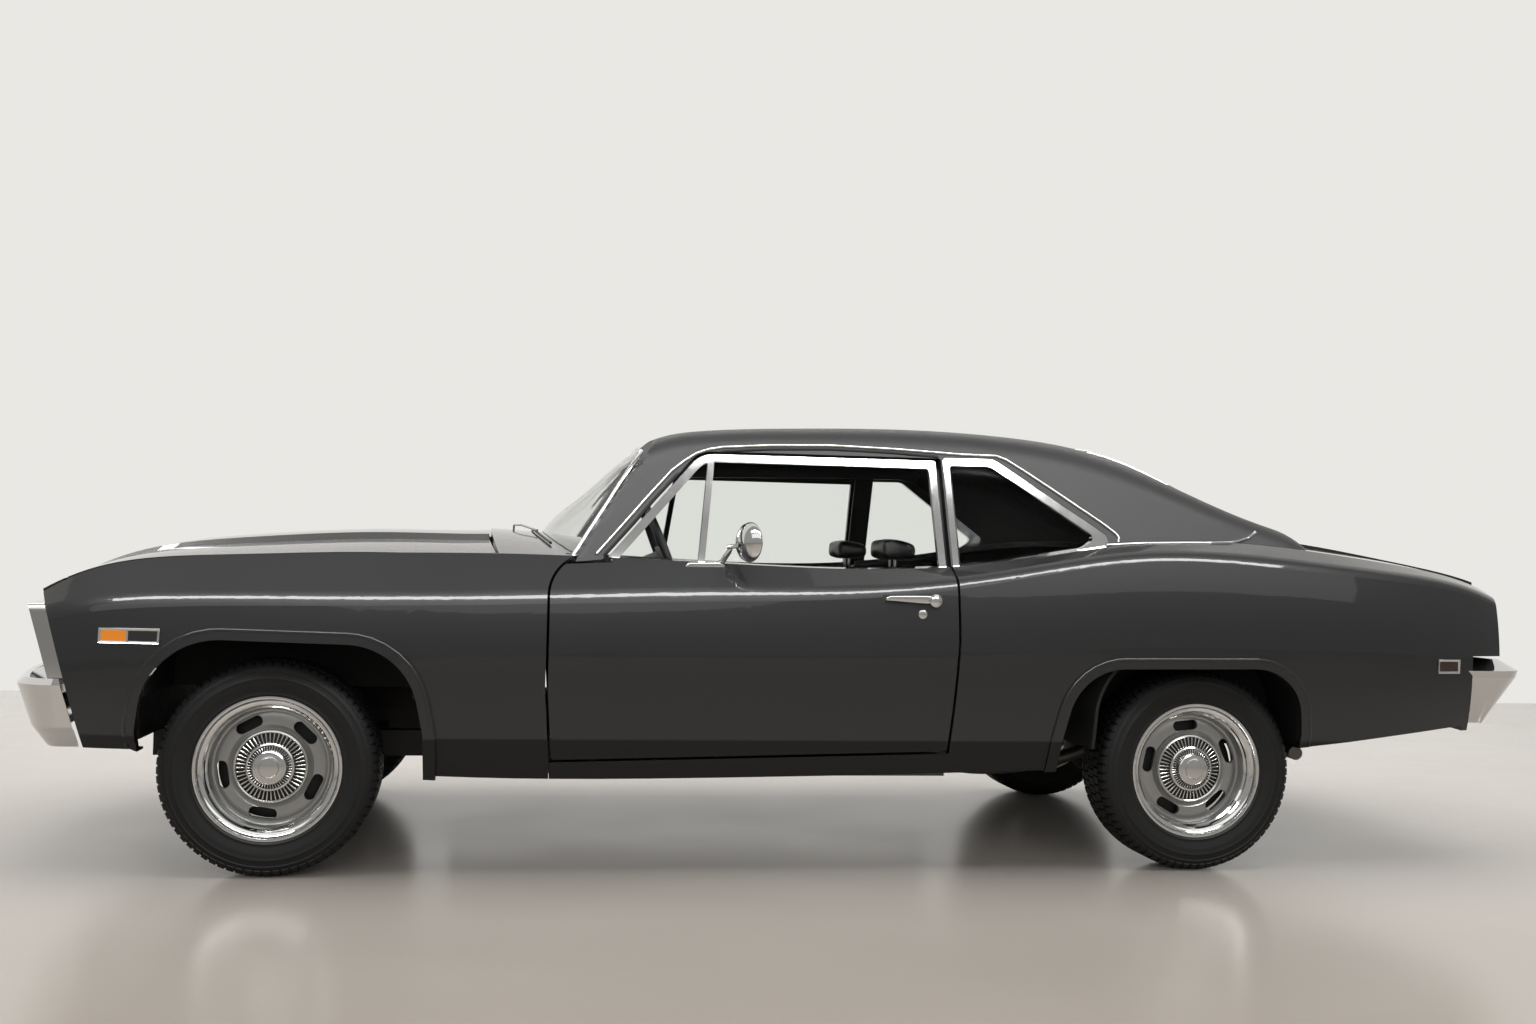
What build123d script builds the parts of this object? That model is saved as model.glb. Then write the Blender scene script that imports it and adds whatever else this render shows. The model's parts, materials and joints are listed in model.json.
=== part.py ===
"""Two-door muscle car: unitised steel body, bolted front sheet metal, live rear axle.

Millimetres. +X is forward, +Y is the car's left side, +Z is up. The origin is on the
ground, under the middle of the car's overall length and width.
"""
from build123d import *
from math import atan2, cos, sin
import os

# ------------------------------------------------------------------ driving dimensions
FRONT_AXLE_X = 1575.5        # front wheel centre
WHEELBASE = 2819.0
REAR_AXLE_X = FRONT_AXLE_X - WHEELBASE
TRACK = 1499.0
WHEEL_Y = TRACK / 2
TYRE_R = 313.0
TYRE_WIDTH = 212.0
AXLE_Z = TYRE_R

SKIN = 22.0                  # folded thickness of fenders, hood, lid and quarters
DOOR_THICK = 96.0            # whole door, outer skin to trim panel
DOOR_STEP = 15.0             # how far the door's inner box is inside its outline
PANEL_GAP = 8.0
GLASS = 5.0
ROOF_THICK = 34.0

# panel lines, X
HOOD_REAR_X = 945.0          # rear edge of the hood at its sides
HOOD_REAR_BOW = 45.0         # how far the middle of that edge lies ahead
HOOD_FRONT_X = 2168.0        # front edge of the hood at its sides
HOOD_HALF = 742.0
DOOR_FRONT_X = 783.0
DOOR_REAR_X = -447.0
DOOR_BOTTOM_Z = 345.0        # at the front; the sill rises to the rear
SILL_RISE = 30.0
BELT_Z = 938.0
LID_FRONT_X = -1615.0
LID_HALF = 610.0
ROOF_SPLIT_X = 432.0         # roof skin meets the windshield header here

# steering axis
KINGPIN_Y = 690.0

# nose and tail faces: plan bow and lean
NOSE_X = 2203.0              # sheet-metal nose at the fenders, at NOSE_Z
NOSE_Z = 775.0
NOSE_LEAN = 0.283            # forward lean per unit of height
NOSE_BOW = 92.0
TAIL_X = -2290.0
TAIL_BOW = 88.0


# ------------------------------------------------------------------ helpers
def prism_y(points, y_from, y_to, radii=None):
    """Side-view outline (X, Z) extruded across the car."""
    line = FilletPolyline(*points, radius=radii, close=True) if radii else Polyline(*points, close=True)
    face = Plane.XZ.offset(-y_from) * make_face(line)
    return extrude(face, amount=y_to - y_from, dir=(0, 1, 0))


def prism_z(points, z_from, z_to, radii=None):
    """Plan outline (X, Y) extruded upwards."""
    line = FilletPolyline(*points, radius=radii, close=True) if radii else Polyline(*points, close=True)
    face = Plane.XY.offset(z_from) * make_face(line)
    return extrude(face, amount=z_to - z_from, dir=(0, 0, 1))


def prism_x(points, x_from, x_to, radii=None):
    """Front-view outline (Y, Z) extruded along the car."""
    line = FilletPolyline(*points, radius=radii, close=True) if radii else Polyline(*points, close=True)
    face = Plane.YZ.offset(x_from) * make_face(line)
    return extrude(face, amount=x_to - x_from, dir=(1, 0, 0))


def block(x0, x1, y0, y1, z0, z1):
    """Axis-aligned block between two corners."""
    return Pos((x0 + x1) / 2, (y0 + y1) / 2, (z0 + z1) / 2) * Box(abs(x1 - x0), abs(y1 - y0), abs(z1 - z0))


def rod_y(x, z, y0, y1, radius):
    """Round bar across the car."""
    return Pos(x, (y0 + y1) / 2, z) * Rot(90, 0, 0) * Cylinder(radius, abs(y1 - y0))


def rod_x(y, z, x0, x1, radius):
    """Round bar along the car."""
    return Pos((x0 + x1) / 2, y, z) * Rot(0, 90, 0) * Cylinder(radius, abs(x1 - x0))


def rod_z(x, y, z0, z1, radius):
    """Upright round bar."""
    return Pos(x, y, (z0 + z1) / 2) * Cylinder(radius, abs(z1 - z0))


def mirrored(shape):
    """The same piece on the other side of the car."""
    return mirror(shape, about=Plane.XZ)


def solids_of(shape):
    """One solid, or a compound of the solids that a cut left."""
    found = shape.solids()
    return found[0] if len(found) == 1 else Compound(children=list(found))


NODES = {}


def keep(name, shape):
    """Name a finished piece for export."""
    NODES[name] = solids_of(shape)


# ------------------------------------------------------------------ lower body surface
# One row per station: x, bottom z and half width, widest z and half width,
# shoulder z and half width, top-edge z and half width, crown z.
BODY_STATIONS = [
    # x      zb   yb   zw   yw     zs   ys   ze   ye   zt
    (2420,  345, 600, 560, 745.0, 690, 725, 735, 650, 760),
    (2240,  345, 700, 575, 822.0, 745, 800, 815, 735, 850),
    (2100,  345, 770, 590, 862.0, 778, 840, 880, 742, 922),
    (1850,  340, 825, 615, 897.0, 802, 872, 921, 744, 990),
    (1400,  310, 848, 640, 914.0, 812, 885, 940, 745, 1024),
    (900,   288, 850, 650, 918.0, 824, 886, 948, 755, 1030),
    (300,   290, 852, 655, 919.0, 843, 887, 934, 798, 962),
    (-400,  305, 854, 665, 919.5, 886, 887, 933, 803, 960),
    (-750,  315, 856, 685, 919.5, 946, 872, 975, 797, 1000),
    (-1050, 325, 856, 700, 919.5, 988, 864, 1022, 785, 1050),
    (-1500, 360, 852, 700, 914.0, 978, 862, 1026, 772, 1078),
    (-1900, 390, 832, 690, 894.0, 944, 846, 982, 752, 1038),
    (-2180, 400, 790, 670, 855.0, 905, 812, 935, 725, 985),
    (-2420, 420, 720, 640, 790.0, 800, 755, 830, 680, 870),
]
SHOULDER_SOFT = 26.0         # half length of the rounded shoulder


def arc_mid(half, z_edge, z_crown):
    """Height at half way out on the arc over a crown."""
    rise = z_crown - z_edge
    radius = (half ** 2 + rise ** 2) / (2 * rise)
    return z_crown - radius + (radius ** 2 - half ** 2 / 4) ** 0.5


def body_section(row, inset):
    """Left half of a cross-section of the lower body, moved inwards by inset."""
    x, zb, yb, zw, yw, zs, ys, ze, ye, zt = row
    yb, zb = yb - inset, zb + inset
    yw = yw - inset
    ys, zs = ys - 0.85 * inset, zs - 0.5 * inset
    ye, ze = ye - 0.6 * inset, ze - 0.9 * inset
    zt = zt - inset
    lean = 2 * atan2(yw - ys, zs - zw)
    slope = atan2(ys - ye, ze - zs)
    y1, z1 = ys + SHOULDER_SOFT * sin(lean), zs - SHOULDER_SOFT * cos(lean)
    y2, z2 = ys - SHOULDER_SOFT * sin(slope), zs + SHOULDER_SOFT * cos(slope)

    def p(y, z):
        return Vector(x, y, z)

    return Wire([
        Edge.make_line(p(0, zb), p(yb, zb)),
        Edge.make_tangent_arc(p(yw, zw), (0, 0, -1), p(yb, zb)),
        Edge.make_tangent_arc(p(yw, zw), (0, 0, 1), p(y1, z1)),
        Edge.make_tangent_arc(p(y1, z1), (0, -sin(lean), cos(lean)), p(y2, z2)),
        Edge.make_line(p(y2, z2), p(ye, ze)),
        Edge.make_three_point_arc(p(ye, ze), p(ye / 2, arc_mid(ye, ze, zt)), p(0, zt)),
        Edge.make_line(p(0, zt), p(0, zb)),
    ])


def body_loft(inset, rows=BODY_STATIONS):
    """Left half of the lower body as one lofted solid."""
    return Solid.make_loft([body_section(row, inset) for row in rows])


def nose_prism(offset):
    """Everything behind the bowed, leaning nose, moved forward by offset."""
    low_z, high_z = 100.0, 1200.0
    x_low = NOSE_X + offset - NOSE_LEAN * (NOSE_Z - low_z)
    arc = ThreePointArc((x_low - 40, 1000), (x_low + NOSE_BOW, 0), (x_low - 40, -1000))
    back = Polyline((x_low - 40, -1000), (-3000, -1000), (-3000, 1000), (x_low - 40, 1000))
    face = Plane.XY.offset(low_z) * make_face([arc, back])
    return extrude(face, amount=high_z - low_z, dir=(NOSE_LEAN, 0, 1))


def tail_prism(offset):
    """Everything ahead of the bowed tail, moved rearward by offset."""
    x_side = TAIL_X - offset + 45
    arc = ThreePointArc((x_side, 1000), (TAIL_X - offset - TAIL_BOW, 0), (x_side, -1000))
    front = Polyline((x_side, -1000), (3000, -1000), (3000, 1000), (x_side, 1000))
    face = Plane.XY.offset(100) * make_face([arc, front])
    return extrude(face, amount=1200, dir=(0, 0, 1))


outer = body_loft(0)                 # outside surface of the lower body
folded = body_loft(SKIN)             # inside of the folded sheet metal
lined = body_loft(DOOR_THICK, BODY_STATIONS[3:11])        # inside of the doors and their trim

# ------------------------------------------------------------------ panel outlines, side view (X, Z)
DOOR_TOP_CORNER_R = 120.0
FENDER_REAR_X = 645.0        # where the fender's top ends, at the windshield pillar
FRONT_ARCH = [(1131, 100), (1138, 420), (1190, 674), (1895, 690), (1944, 420), (1935, 100)]
FRONT_ARCH_R = [0, 60, 210, 225, 60, 0]
REAR_ARCH = [(-1566, 100), (-1578, 430), (-1545, 640), (-835, 632), (-790, 420), (-756, 100)]
REAR_ARCH_R = [0, 60, 165, 175, 60, 0]
FRONT_LIP = [(1096, 100), (1103, 425), (1160, 709), (1925, 725), (1980, 425), (1970, 100)]
FRONT_LIP_R = [0, 60, 245, 260, 60, 0]
REAR_LIP = [(-1601, 100), (-1613, 435), (-1576, 675), (-805, 667), (-755, 425), (-721, 100)]
REAR_LIP_R = [0, 60, 200, 210, 60, 0]
ARCH_LIP = 5.0               # how far the wheel-arch lips stand proud
LIP_IN_Y = 840.0             # inner side of the lips
BOTTOM_LINE = [(2600, 366), (1960, 366), (1900, 340), (1100, 200), (-1500, 200), (-1570, 386),
               (-1750, 405), (-2132, 453), (-2600, 500)]


def door_outline(grow):
    """The door's side view; grow moves every edge outwards."""
    front, rear = DOOR_FRONT_X + grow, DOOR_REAR_X - grow
    low = DOOR_BOTTOM_Z - grow
    points = [(front - 15, low), (front, low + 210), (front, BELT_Z + 9 + grow),
              (FENDER_REAR_X - 20, BELT_Z + 9 + grow), (FENDER_REAR_X - 60, BELT_Z + 60),
              (rear, BELT_Z + 60), (rear, 700), (rear + 22, low + SILL_RISE)]
    return points, [8, 300, DOOR_TOP_CORNER_R + grow, 0, 0, 0, 500, 8]


def side_prism(outline, y_from, y_to=1000):
    """Side-view region from (points, radii)."""
    points, radii = outline
    return prism_y(points, y_from, y_to, radii)


above_bottom = prism_y([(2600, 1300), *BOTTOM_LINE, (-2600, 1300)], 0, 1000)
front_arch = prism_y(FRONT_ARCH, 300, 1000, FRONT_ARCH_R)
rear_arch = prism_y(REAR_ARCH, 300, 1000, REAR_ARCH_R)
nose = nose_prism(0)
TAIL_STEP_Z = 684.0          # below this the tail steps forward to clear the bumper
TAIL_STEP = 105.0
tail = tail_prism(0)
tail_low = tail_prism(-TAIL_STEP)
tail_stepped = tail - (block(-2600, -1900, -1000, 1000, 0, TAIL_STEP_Z) - tail_low)

# ------------------------------------------------------------------ outer sheet metal
QUARTER_IN_Y = 700.0         # the quarter's inner edge, under the roof's base
PILLAR_FOOT_Y = 786.0        # outer side of the windshield pillar's foot


def arch_lip(grown, radii, arch, rows):
    """Rolled lip round a wheel arch, standing proud of the skin."""
    ring = (prism_y(grown, LIP_IN_Y, 1000, radii) & above_bottom) - arch
    return (ring & body_loft(-ARCH_LIP, rows)) - folded


def make_fender():
    """Front fender: from the door line to the nose, outside the hood line."""
    edge = HOOD_HALF + PANEL_GAP / 2
    front = DOOR_FRONT_X + PANEL_GAP
    low = DOOR_BOTTOM_Z - PANEL_GAP
    region = prism_y([(2600, 1200), (2600, 200), (front - 18, 200), (front - 15, low), (front, low + 210),
                      (front, BELT_Z + 9 + PANEL_GAP), (FENDER_REAR_X, BELT_Z + 9 + PANEL_GAP),
                      (FENDER_REAR_X, 1200)], edge, 1000,
                     [0, 0, 0, 8, 300, DOOR_TOP_CORNER_R + PANEL_GAP, 0, 0])
    panel = (region & above_bottom & nose) - front_arch
    return (panel & outer) - folded + arch_lip(FRONT_LIP, FRONT_LIP_R, front_arch, BODY_STATIONS[:7])


def make_door():
    """Door: full-outline outer layer and a smaller inner box behind it."""
    whole = side_prism(door_outline(0), 738)
    slab = (whole & outer) - lined
    inner = side_prism(door_outline(-DOOR_STEP), 600)
    border = (side_prism(door_outline(5), 601, 1000) - inner) & folded
    return slab - border - block(600, 800, 700, PILLAR_FOOT_Y + 6, 880, 1000)


def make_quarter():
    """Quarter panel: from the door line to the tail, up to the roof's base and the lid."""
    lid_edge = LID_HALF + PANEL_GAP / 2
    plan = prism_z([(-300, 1000), (-300, QUARTER_IN_Y), (-1480, QUARTER_IN_Y), (-1480, lid_edge),
                    (-2600, lid_edge), (-2600, 1000)], 200, 1300)
    rear = DOOR_REAR_X - PANEL_GAP
    low = DOOR_BOTTOM_Z - PANEL_GAP + SILL_RISE
    region = prism_y([(rear, 1300), (rear, 700), (rear + 22, low), (rear + 22, 200),
                      (-2600, 200), (-2600, 1300)], 0, 1000, [0, 500, 0, 0, 0, 0])
    panel = (region & plan & above_bottom & tail_stepped) - rear_arch
    return (panel & outer) - folded + arch_lip(REAR_LIP, REAR_LIP_R, rear_arch, BODY_STATIONS[6:])


def make_rocker():
    """Sill beam under the door."""
    low = DOOR_BOTTOM_Z - PANEL_GAP
    front = DOOR_FRONT_X + PANEL_GAP - 18
    rear = DOOR_REAR_X - PANEL_GAP + 22
    region = prism_y([(front, low), (front, 200), (rear, 200), (rear, low + SILL_RISE)], QUARTER_IN_Y, 1000)
    return region & outer


fender = make_fender()
door = make_door()
quarter = make_quarter()
rocker = make_rocker()

# hood, front header panel, lid: their own lofts on the same stations
HOOD_STATIONS = [
    # x      edge z, edge half, bulge foot z, bulge top z, crown z
    (2420, 735, 650, 752, 756, 762),
    (2240, 815, 735, 843, 850, 858),
    (2100, 880, 742, 906, 918, 930),
    (1850, 921, 744, 952, 970, 985),
    (1550, 935, 745, 974, 996, 1012),
    (1250, 943, 745, 986, 1008, 1024),
    (950,  948, 750, 990, 1011, 1029),
    (650,  950, 750, 990, 1010, 1028),
]
BULGE_FOOT, BULGE_TOP = 405.0, 372.0     # half widths of the raised middle of the hood


def hood_section(row, drop):
    """Cross-section of a sheet across the hood: outer line above, the same line lowered below."""
    x, ze, ye, zf, zp, zt = row

    def chain(low):
        """The outline from left edge to right edge, lowered by low."""
        pts = [(ye, ze), (BULGE_FOOT, zf), (BULGE_TOP, zp), (-BULGE_TOP, zp), (-BULGE_FOOT, zf), (-ye, ze)]
        pts = [Vector(x, y, z - low) for y, z in pts]
        mid_y = (ye + BULGE_FOOT) / 2
        mid_z = (ze + zf) / 2 + 0.10 * (zf - ze)
        return [Edge.make_three_point_arc(pts[0], Vector(x, mid_y, mid_z - low), pts[1]),
                Edge.make_line(pts[1], pts[2]),
                Edge.make_three_point_arc(pts[2], Vector(x, 0, zt - low), pts[3]),
                Edge.make_line(pts[3], pts[4]),
                Edge.make_three_point_arc(pts[4], Vector(x, -mid_y, mid_z - low), pts[5])]

    top, under = chain(0), chain(drop)
    left = Edge.make_line(Vector(x, ye, ze), Vector(x, ye, ze - drop))
    right = Edge.make_line(Vector(x, -ye, ze), Vector(x, -ye, ze - drop))
    return Wire(top + [right] + under[::-1] + [left])


def hood_loft(drop):
    """The hood's sheet from nose to cowl."""
    return Solid.make_loft([hood_section(row, drop) for row in HOOD_STATIONS])


def plan_front(x_side, half, x_back, bow):
    """Plan region between a straight rear line and a forward-bowed front edge."""
    arc = ThreePointArc((x_side, half), (x_side + bow, 0), (x_side, -half))
    rest = Polyline((x_side, -half), (x_back, -half), (x_back, half), (x_side, half))
    return extrude(Plane.XY.offset(200) * make_face([arc, rest]), amount=1100)


hood_sheet = hood_loft(SKIN)
hood_plan = plan_front(HOOD_FRONT_X, HOOD_HALF - PANEL_GAP / 2, 500, 75)
hood = (hood_sheet & hood_plan) - plan_front(HOOD_REAR_X, 760, 400, HOOD_REAR_BOW)
header_plan = (plan_front(2600, HOOD_HALF + PANEL_GAP / 2, 1800, 10)
               - plan_front(HOOD_FRONT_X + PANEL_GAP, 760, 400, 75))
HEADER_LOW_Z = 778.0
header_top = hood_sheet & header_plan & nose
header_face = ((nose - nose_prism(-SKIN))
               & prism_y([(1900, HEADER_LOW_Z), (2500, HEADER_LOW_Z), (2500, 880), (1900, 880)], -745, 745)
               & hood_loft(300))
header = header_top + header_face

LID_STATIONS = [
    # x       edge z at the lid's side, crown z
    (-1400, 1052, 1082),
    (-1500, 1050, 1078),
    (-1900, 1004, 1038),
    (-2180, 955, 985),
    (-2330, 918, 938),
    (-2460, 850, 866),
]


def lid_section(row, drop):
    """Cross-section of the deck between the quarters."""
    x, ze, zt = row
    y = 640.0
    return Wire([
        Edge.make_three_point_arc(Vector(x, y, ze), Vector(x, 0, zt), Vector(x, -y, ze)),
        Edge.make_line(Vector(x, -y, ze), Vector(x, -y, ze - drop)),
        Edge.make_three_point_arc(Vector(x, -y, ze - drop), Vector(x, 0, zt - drop),
                                  Vector(x, y, ze - drop)),
        Edge.make_line(Vector(x, y, ze - drop), Vector(x, y, ze)),
    ])


deck_sheet = Solid.make_loft([lid_section(row, SKIN) for row in LID_STATIONS])
lid_plan = block(-2600, LID_FRONT_X, -LID_HALF + PANEL_GAP / 2, LID_HALF - PANEL_GAP / 2, 300, 1300)
LID_LIP_Z = 872.0            # lower edge of the lid's rear lip
tail_face = tail - tail_prism(-SKIN)
under_deck = Solid.make_loft([lid_section(row, 400) for row in LID_STATIONS])
lid_lip = tail_face & under_deck & lid_plan & block(-2600, -2100, -700, 700, LID_LIP_Z, 1100)
lid = (deck_sheet & lid_plan & tail) + lid_lip
upper_deck = deck_sheet & block(LID_FRONT_X + PANEL_GAP, -1440, -LID_HALF + 2, LID_HALF - 2, 900, 1300)

TAIL_LOW_Z = 440.0
REST_GAP = 0.4               # between a closed lid and the rest under it
tail_behind = tail_prism(-TAIL_STEP - SKIN)
upper_tail = outer & tail_face & block(-2600, -1900, 0, 1000, TAIL_STEP_Z, LID_LIP_Z - PANEL_GAP)
low_tail = outer & (tail_low - tail_behind) & block(-2600, -1900, 0, 1000, TAIL_LOW_Z, TAIL_STEP_Z)
lid_rest = outer & tail_face & block(-2600, -1900, 380, 420, LID_LIP_Z - PANEL_GAP - 5, LID_LIP_Z - REST_GAP)
step_shelf = outer & (tail - tail_behind) & block(-2600, -1900, 0, 1000, TAIL_STEP_Z, TAIL_STEP_Z + SKIN)
tail_side = upper_tail + low_tail + step_shelf + lid_rest
TAIL_PANEL_HALF = 700.0
quarter_tail = tail_side - block(-2600, -1900, 0, TAIL_PANEL_HALF, 400, 1300)
tail_middle = tail_side & block(-2600, -1900, 0, TAIL_PANEL_HALF, 400, 1300)
quarter = quarter + quarter_tail
tail_panel = tail_middle + mirrored(tail_middle)

valance_half = ((outer - folded) & nose & above_bottom & block(1990, 2600, 0, 746, 300, 545))
valance_face = outer & (nose - nose_prism(-SKIN)) & block(1990, 2600, 0, 1000, 366, 545)
valance_half = (valance_half + valance_face) - fender
front_valance = valance_half + mirrored(valance_half)

# ------------------------------------------------------------------ roof and glass surface
TUMBLE_Y, TUMBLE_Z, TUMBLE_RUN = 785.0, 930.0, 0.446     # side glass plane: y falls as z climbs
ROOF_STATIONS = [
    # x     side top z, crown edge half, crown edge z, crown z
    (960,  1010, 590, 1090, 1120),
    (480,  1245, 480, 1300, 1322),
    (300,  1286, 470, 1346, 1368),
    (0,    1303, 470, 1368, 1391),
    (-350, 1305, 470, 1380, 1403),
    (-700, 1284, 470, 1368, 1392),
    (-980, 1228, 485, 1330, 1358),
    (-1250, 1130, 520, 1222, 1252),
    (-1550, 1018, 560, 1078, 1104),
    (-1800, 880, 580, 920, 950),
]
ROOF_BASE_Z = 900.0


def glass_y(z):
    """Half width of the side glass plane at a height."""
    return TUMBLE_Y - (z - TUMBLE_Z) * TUMBLE_RUN


def roof_points(row, inset):
    """Corner points of the left half of a greenhouse section, moved inwards by inset."""
    x, zs, yc, zc, zt = row
    y0, z0 = glass_y(ROOF_BASE_Z) - inset, ROOF_BASE_Z
    y1, z1 = glass_y(zs) - inset, zs - 0.5 * inset
    y2, z2 = yc - 0.3 * inset, zc - inset
    return x, y0, z0, y1, z1, y2, z2, zt - inset


def roof_chain(row, inset):
    """The greenhouse line over the car, from its left foot to its right foot."""
    x, y0, z0, y1, z1, y2, z2, zt = roof_points(row, inset)
    lean = atan2(y0 - y1, z1 - z0)

    def p(y, z):
        return Vector(x, y, z)

    return [
        Edge.make_line(p(y0, z0), p(y1, z1)),
        Edge.make_tangent_arc(p(y1, z1), (0, -sin(lean), cos(lean)), p(y2, z2)),
        Edge.make_three_point_arc(p(y2, z2), p(0, zt), p(-y2, z2)),
        Edge.make_tangent_arc(p(-y1, z1), (0, sin(lean), cos(lean)), p(-y2, z2)),
        Edge.make_line(p(-y1, z1), p(-y0, z0)),
    ]


def roof_form(inset):
    """The greenhouse as a filled form."""
    wires = []
    for row in ROOF_STATIONS:
        x, y0, z0 = roof_points(row, inset)[:3]
        wires.append(Wire(roof_chain(row, inset) + [Edge.make_line(Vector(x, -y0, z0), Vector(x, y0, z0))]))
    return Solid.make_loft(wires)


def roof_sheet(outside, inside):
    """The greenhouse as a sheet between two insets, open below."""
    wires = []
    for row in ROOF_STATIONS:
        x, y_out, z0 = roof_points(row, outside)[:3]
        y_in = roof_points(row, inside)[1]
        right = Edge.make_line(Vector(x, -y_out, z0), Vector(x, -y_in, z0))
        left = Edge.make_line(Vector(x, y_in, z0), Vector(x, y_out, z0))
        wires.append(Wire(roof_chain(row, outside) + [right] + roof_chain(row, inside)[::-1] + [left]))
    return Solid.make_loft(wires)


SCREEN_LOW_Z = 860.0


def screen_solid(mid, side, z_base, z_top, far):
    """Region beyond a bowed, sloping screen; mid and side are its X at the base and the top."""
    faces = []
    for z in (SCREEN_LOW_Z, z_top):
        share = (z - z_base) / (z_top - z_base)
        x_mid = mid[0] + share * (mid[1] - mid[0])
        x_side = side[0] + share * (side[1] - side[0])
        arc = ThreePointArc((x_side, 800), (x_mid, 0), (x_side, -800))
        rest = Polyline((x_side, -800), (far, -800), (far, 800), (x_side, 800))
        faces.append(Plane.XY.offset(z) * make_face([arc, rest]))
    return loft(faces, ruled=True)


# X of the middle at base and top, X of the sides at base and top, Z of base and top
WINDSHIELD = ((905, 447), (700, 310), 930, 1420)
ahead_of_glass = screen_solid(*WINDSHIELD, 1300)
green_shell = roof_sheet(0, ROOF_THICK) - ahead_of_glass

# side openings, X-Z
DOOR_OPENING = [(662, 900), (328, 1284), (-455, 1284), (-456, 900)]
DOOR_OPENING_R = [0, 100, 8, 0]
QUARTER_OPENING = [(-462, 900), (-462, 1287), (-632, 1288), (-993, 1040), (-958, 1004), (-700, 930)]
QUARTER_OPENING_R = [4, 14, 60, 22, 20, 200]

side_cut = prism_y(DOOR_OPENING, 300, 900, DOOR_OPENING_R)
quarter_cut = prism_y(QUARTER_OPENING, 300, 900, QUARTER_OPENING_R)
REAR_OPENING = [(-985, -500), (-1490, -560), (-1530, 0), (-1490, 560), (-985, 500), (-965, 0)]
REAR_OPENING_R = [70, 60, 1500, 60, 70, 1500]
rear_cut = prism_z(REAR_OPENING, 900, 1500, REAR_OPENING_R)

body_top = outer + mirrored(outer)
sheet = green_shell - side_cut - mirrored(side_cut)
sheet = sheet - quarter_cut - mirrored(quarter_cut) - rear_cut
sheet = sheet - outer - mirrored(outer)
split_front = block(ROOF_SPLIT_X, 1300, -900, 900, 800, 1500)
door_clear = side_prism(door_outline(PANEL_GAP), PILLAR_FOOT_Y)
windshield_frame = (sheet & split_front) - door_clear - mirrored(door_clear)
roof = sheet - split_front - under_deck
lid_space_half = LID_HALF + PANEL_GAP / 2
roof = roof - block(-2000, LID_FRONT_X + PANEL_GAP, -lid_space_half, lid_space_half, 900, 1300)

# ------------------------------------------------------------------ window frames and glass
FRAME_OUT, FRAME_IN = 6.0, 30.0          # depth of the door's window frame inside the glass plane
GLASS_OUT = 15.0


def side_slab(depth_out, depth_in):
    """Flat slab parallel to the left side glass, between two depths inwards."""
    z0, z1 = 880.0, 1330.0
    return prism_x([(glass_y(z0) - depth_out, z0), (glass_y(z1) - depth_out, z1),
                    (glass_y(z1) - depth_in, z1), (glass_y(z0) - depth_in, z0)], -1100, 700)


DOOR_FRAME = [(636, 915), (322, 1275), (-437, 1275), (-441, 915)]
DOOR_GLASS_LINE = [(602, 915), (310, 1250), (-414, 1250), (-418, 915)]
VENT_BAR = [(342, 900), (298, 1260), (278, 1260), (322, 900)]
door_hole = prism_y(DOOR_GLASS_LINE, 300, 900, [0, 78, 6, 0])
vent_bar = prism_y(VENT_BAR, 300, 900)
door_frame = side_slab(FRAME_OUT, FRAME_IN) & ((prism_y(DOOR_FRAME, 300, 900, [0, 94, 6, 0]) - door_hole)
                                              + (vent_bar & door_hole))
door_frame = door_frame - outer
door_glass = (side_slab(GLASS_OUT, GLASS_OUT + GLASS) & (door_hole - vent_bar)) - outer

QUARTER_GLASS_LINE = [(-482, 880), (-482, 1262), (-618, 1263), (-942, 1040), (-905, 1012), (-700, 925)]
quarter_hole = prism_y(QUARTER_GLASS_LINE, 300, 900, [4, 10, 50, 16, 14, 150])
quarter_frame = (side_slab(2, ROOF_THICK - 4) & (quarter_cut - quarter_hole)) - outer
quarter_glass = (side_slab(GLASS_OUT, GLASS_OUT + GLASS) & quarter_hole) - outer

SEAL = 4.0
glass_back = Pos(-SEAL - GLASS, 0, 0) * ahead_of_glass
glass_front = Pos(-SEAL, 0, 0) * ahead_of_glass
windshield = (roof_form(ROOF_THICK) & glass_back) - glass_front
windshield = windshield - outer - mirrored(outer)
COWL_SIDE_X = 738.0
cowl_half = (outer - folded) & (block(640, 1010, 0, 730, 880, 1200)
                                + block(COWL_SIDE_X, 1010, 730, HOOD_HALF + PANEL_GAP / 2, 880, 1200))
cowl_half = cowl_half & plan_front(HOOD_REAR_X - PANEL_GAP, 760, 400, HOOD_REAR_BOW)
keep("cowl_panel", cowl_half + mirrored(cowl_half))
rear_region = rear_cut & block(-1700, -900, -700, 700, 1000, 1400)
rear_window = (rear_region & roof_sheet(8, 8 + GLASS)) - deck_sheet

keep("fender_left", fender)
keep("fender_right", mirrored(fender))
keep("quarter_panel_left", quarter)
keep("quarter_panel_right", mirrored(quarter))
keep("hood", hood)
keep("header_panel", header)
keep("trunk_lid", lid)
keep("upper_deck_panel", upper_deck)
keep("tail_panel", tail_panel)
keep("front_valance", front_valance)
keep("windshield_frame", windshield_frame)
keep("roof", roof)
for side, flip in (("left", lambda s: s), ("right", mirrored)):
    keep(f"door_{side}", flip(door))
    keep(f"door_glass_{side}", flip(door_glass))
keep("quarter_window_frames", quarter_frame + mirrored(quarter_frame))
keep("quarter_windows", quarter_glass + mirrored(quarter_glass))
keep("windshield", windshield)
keep("rear_window", rear_window)

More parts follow.
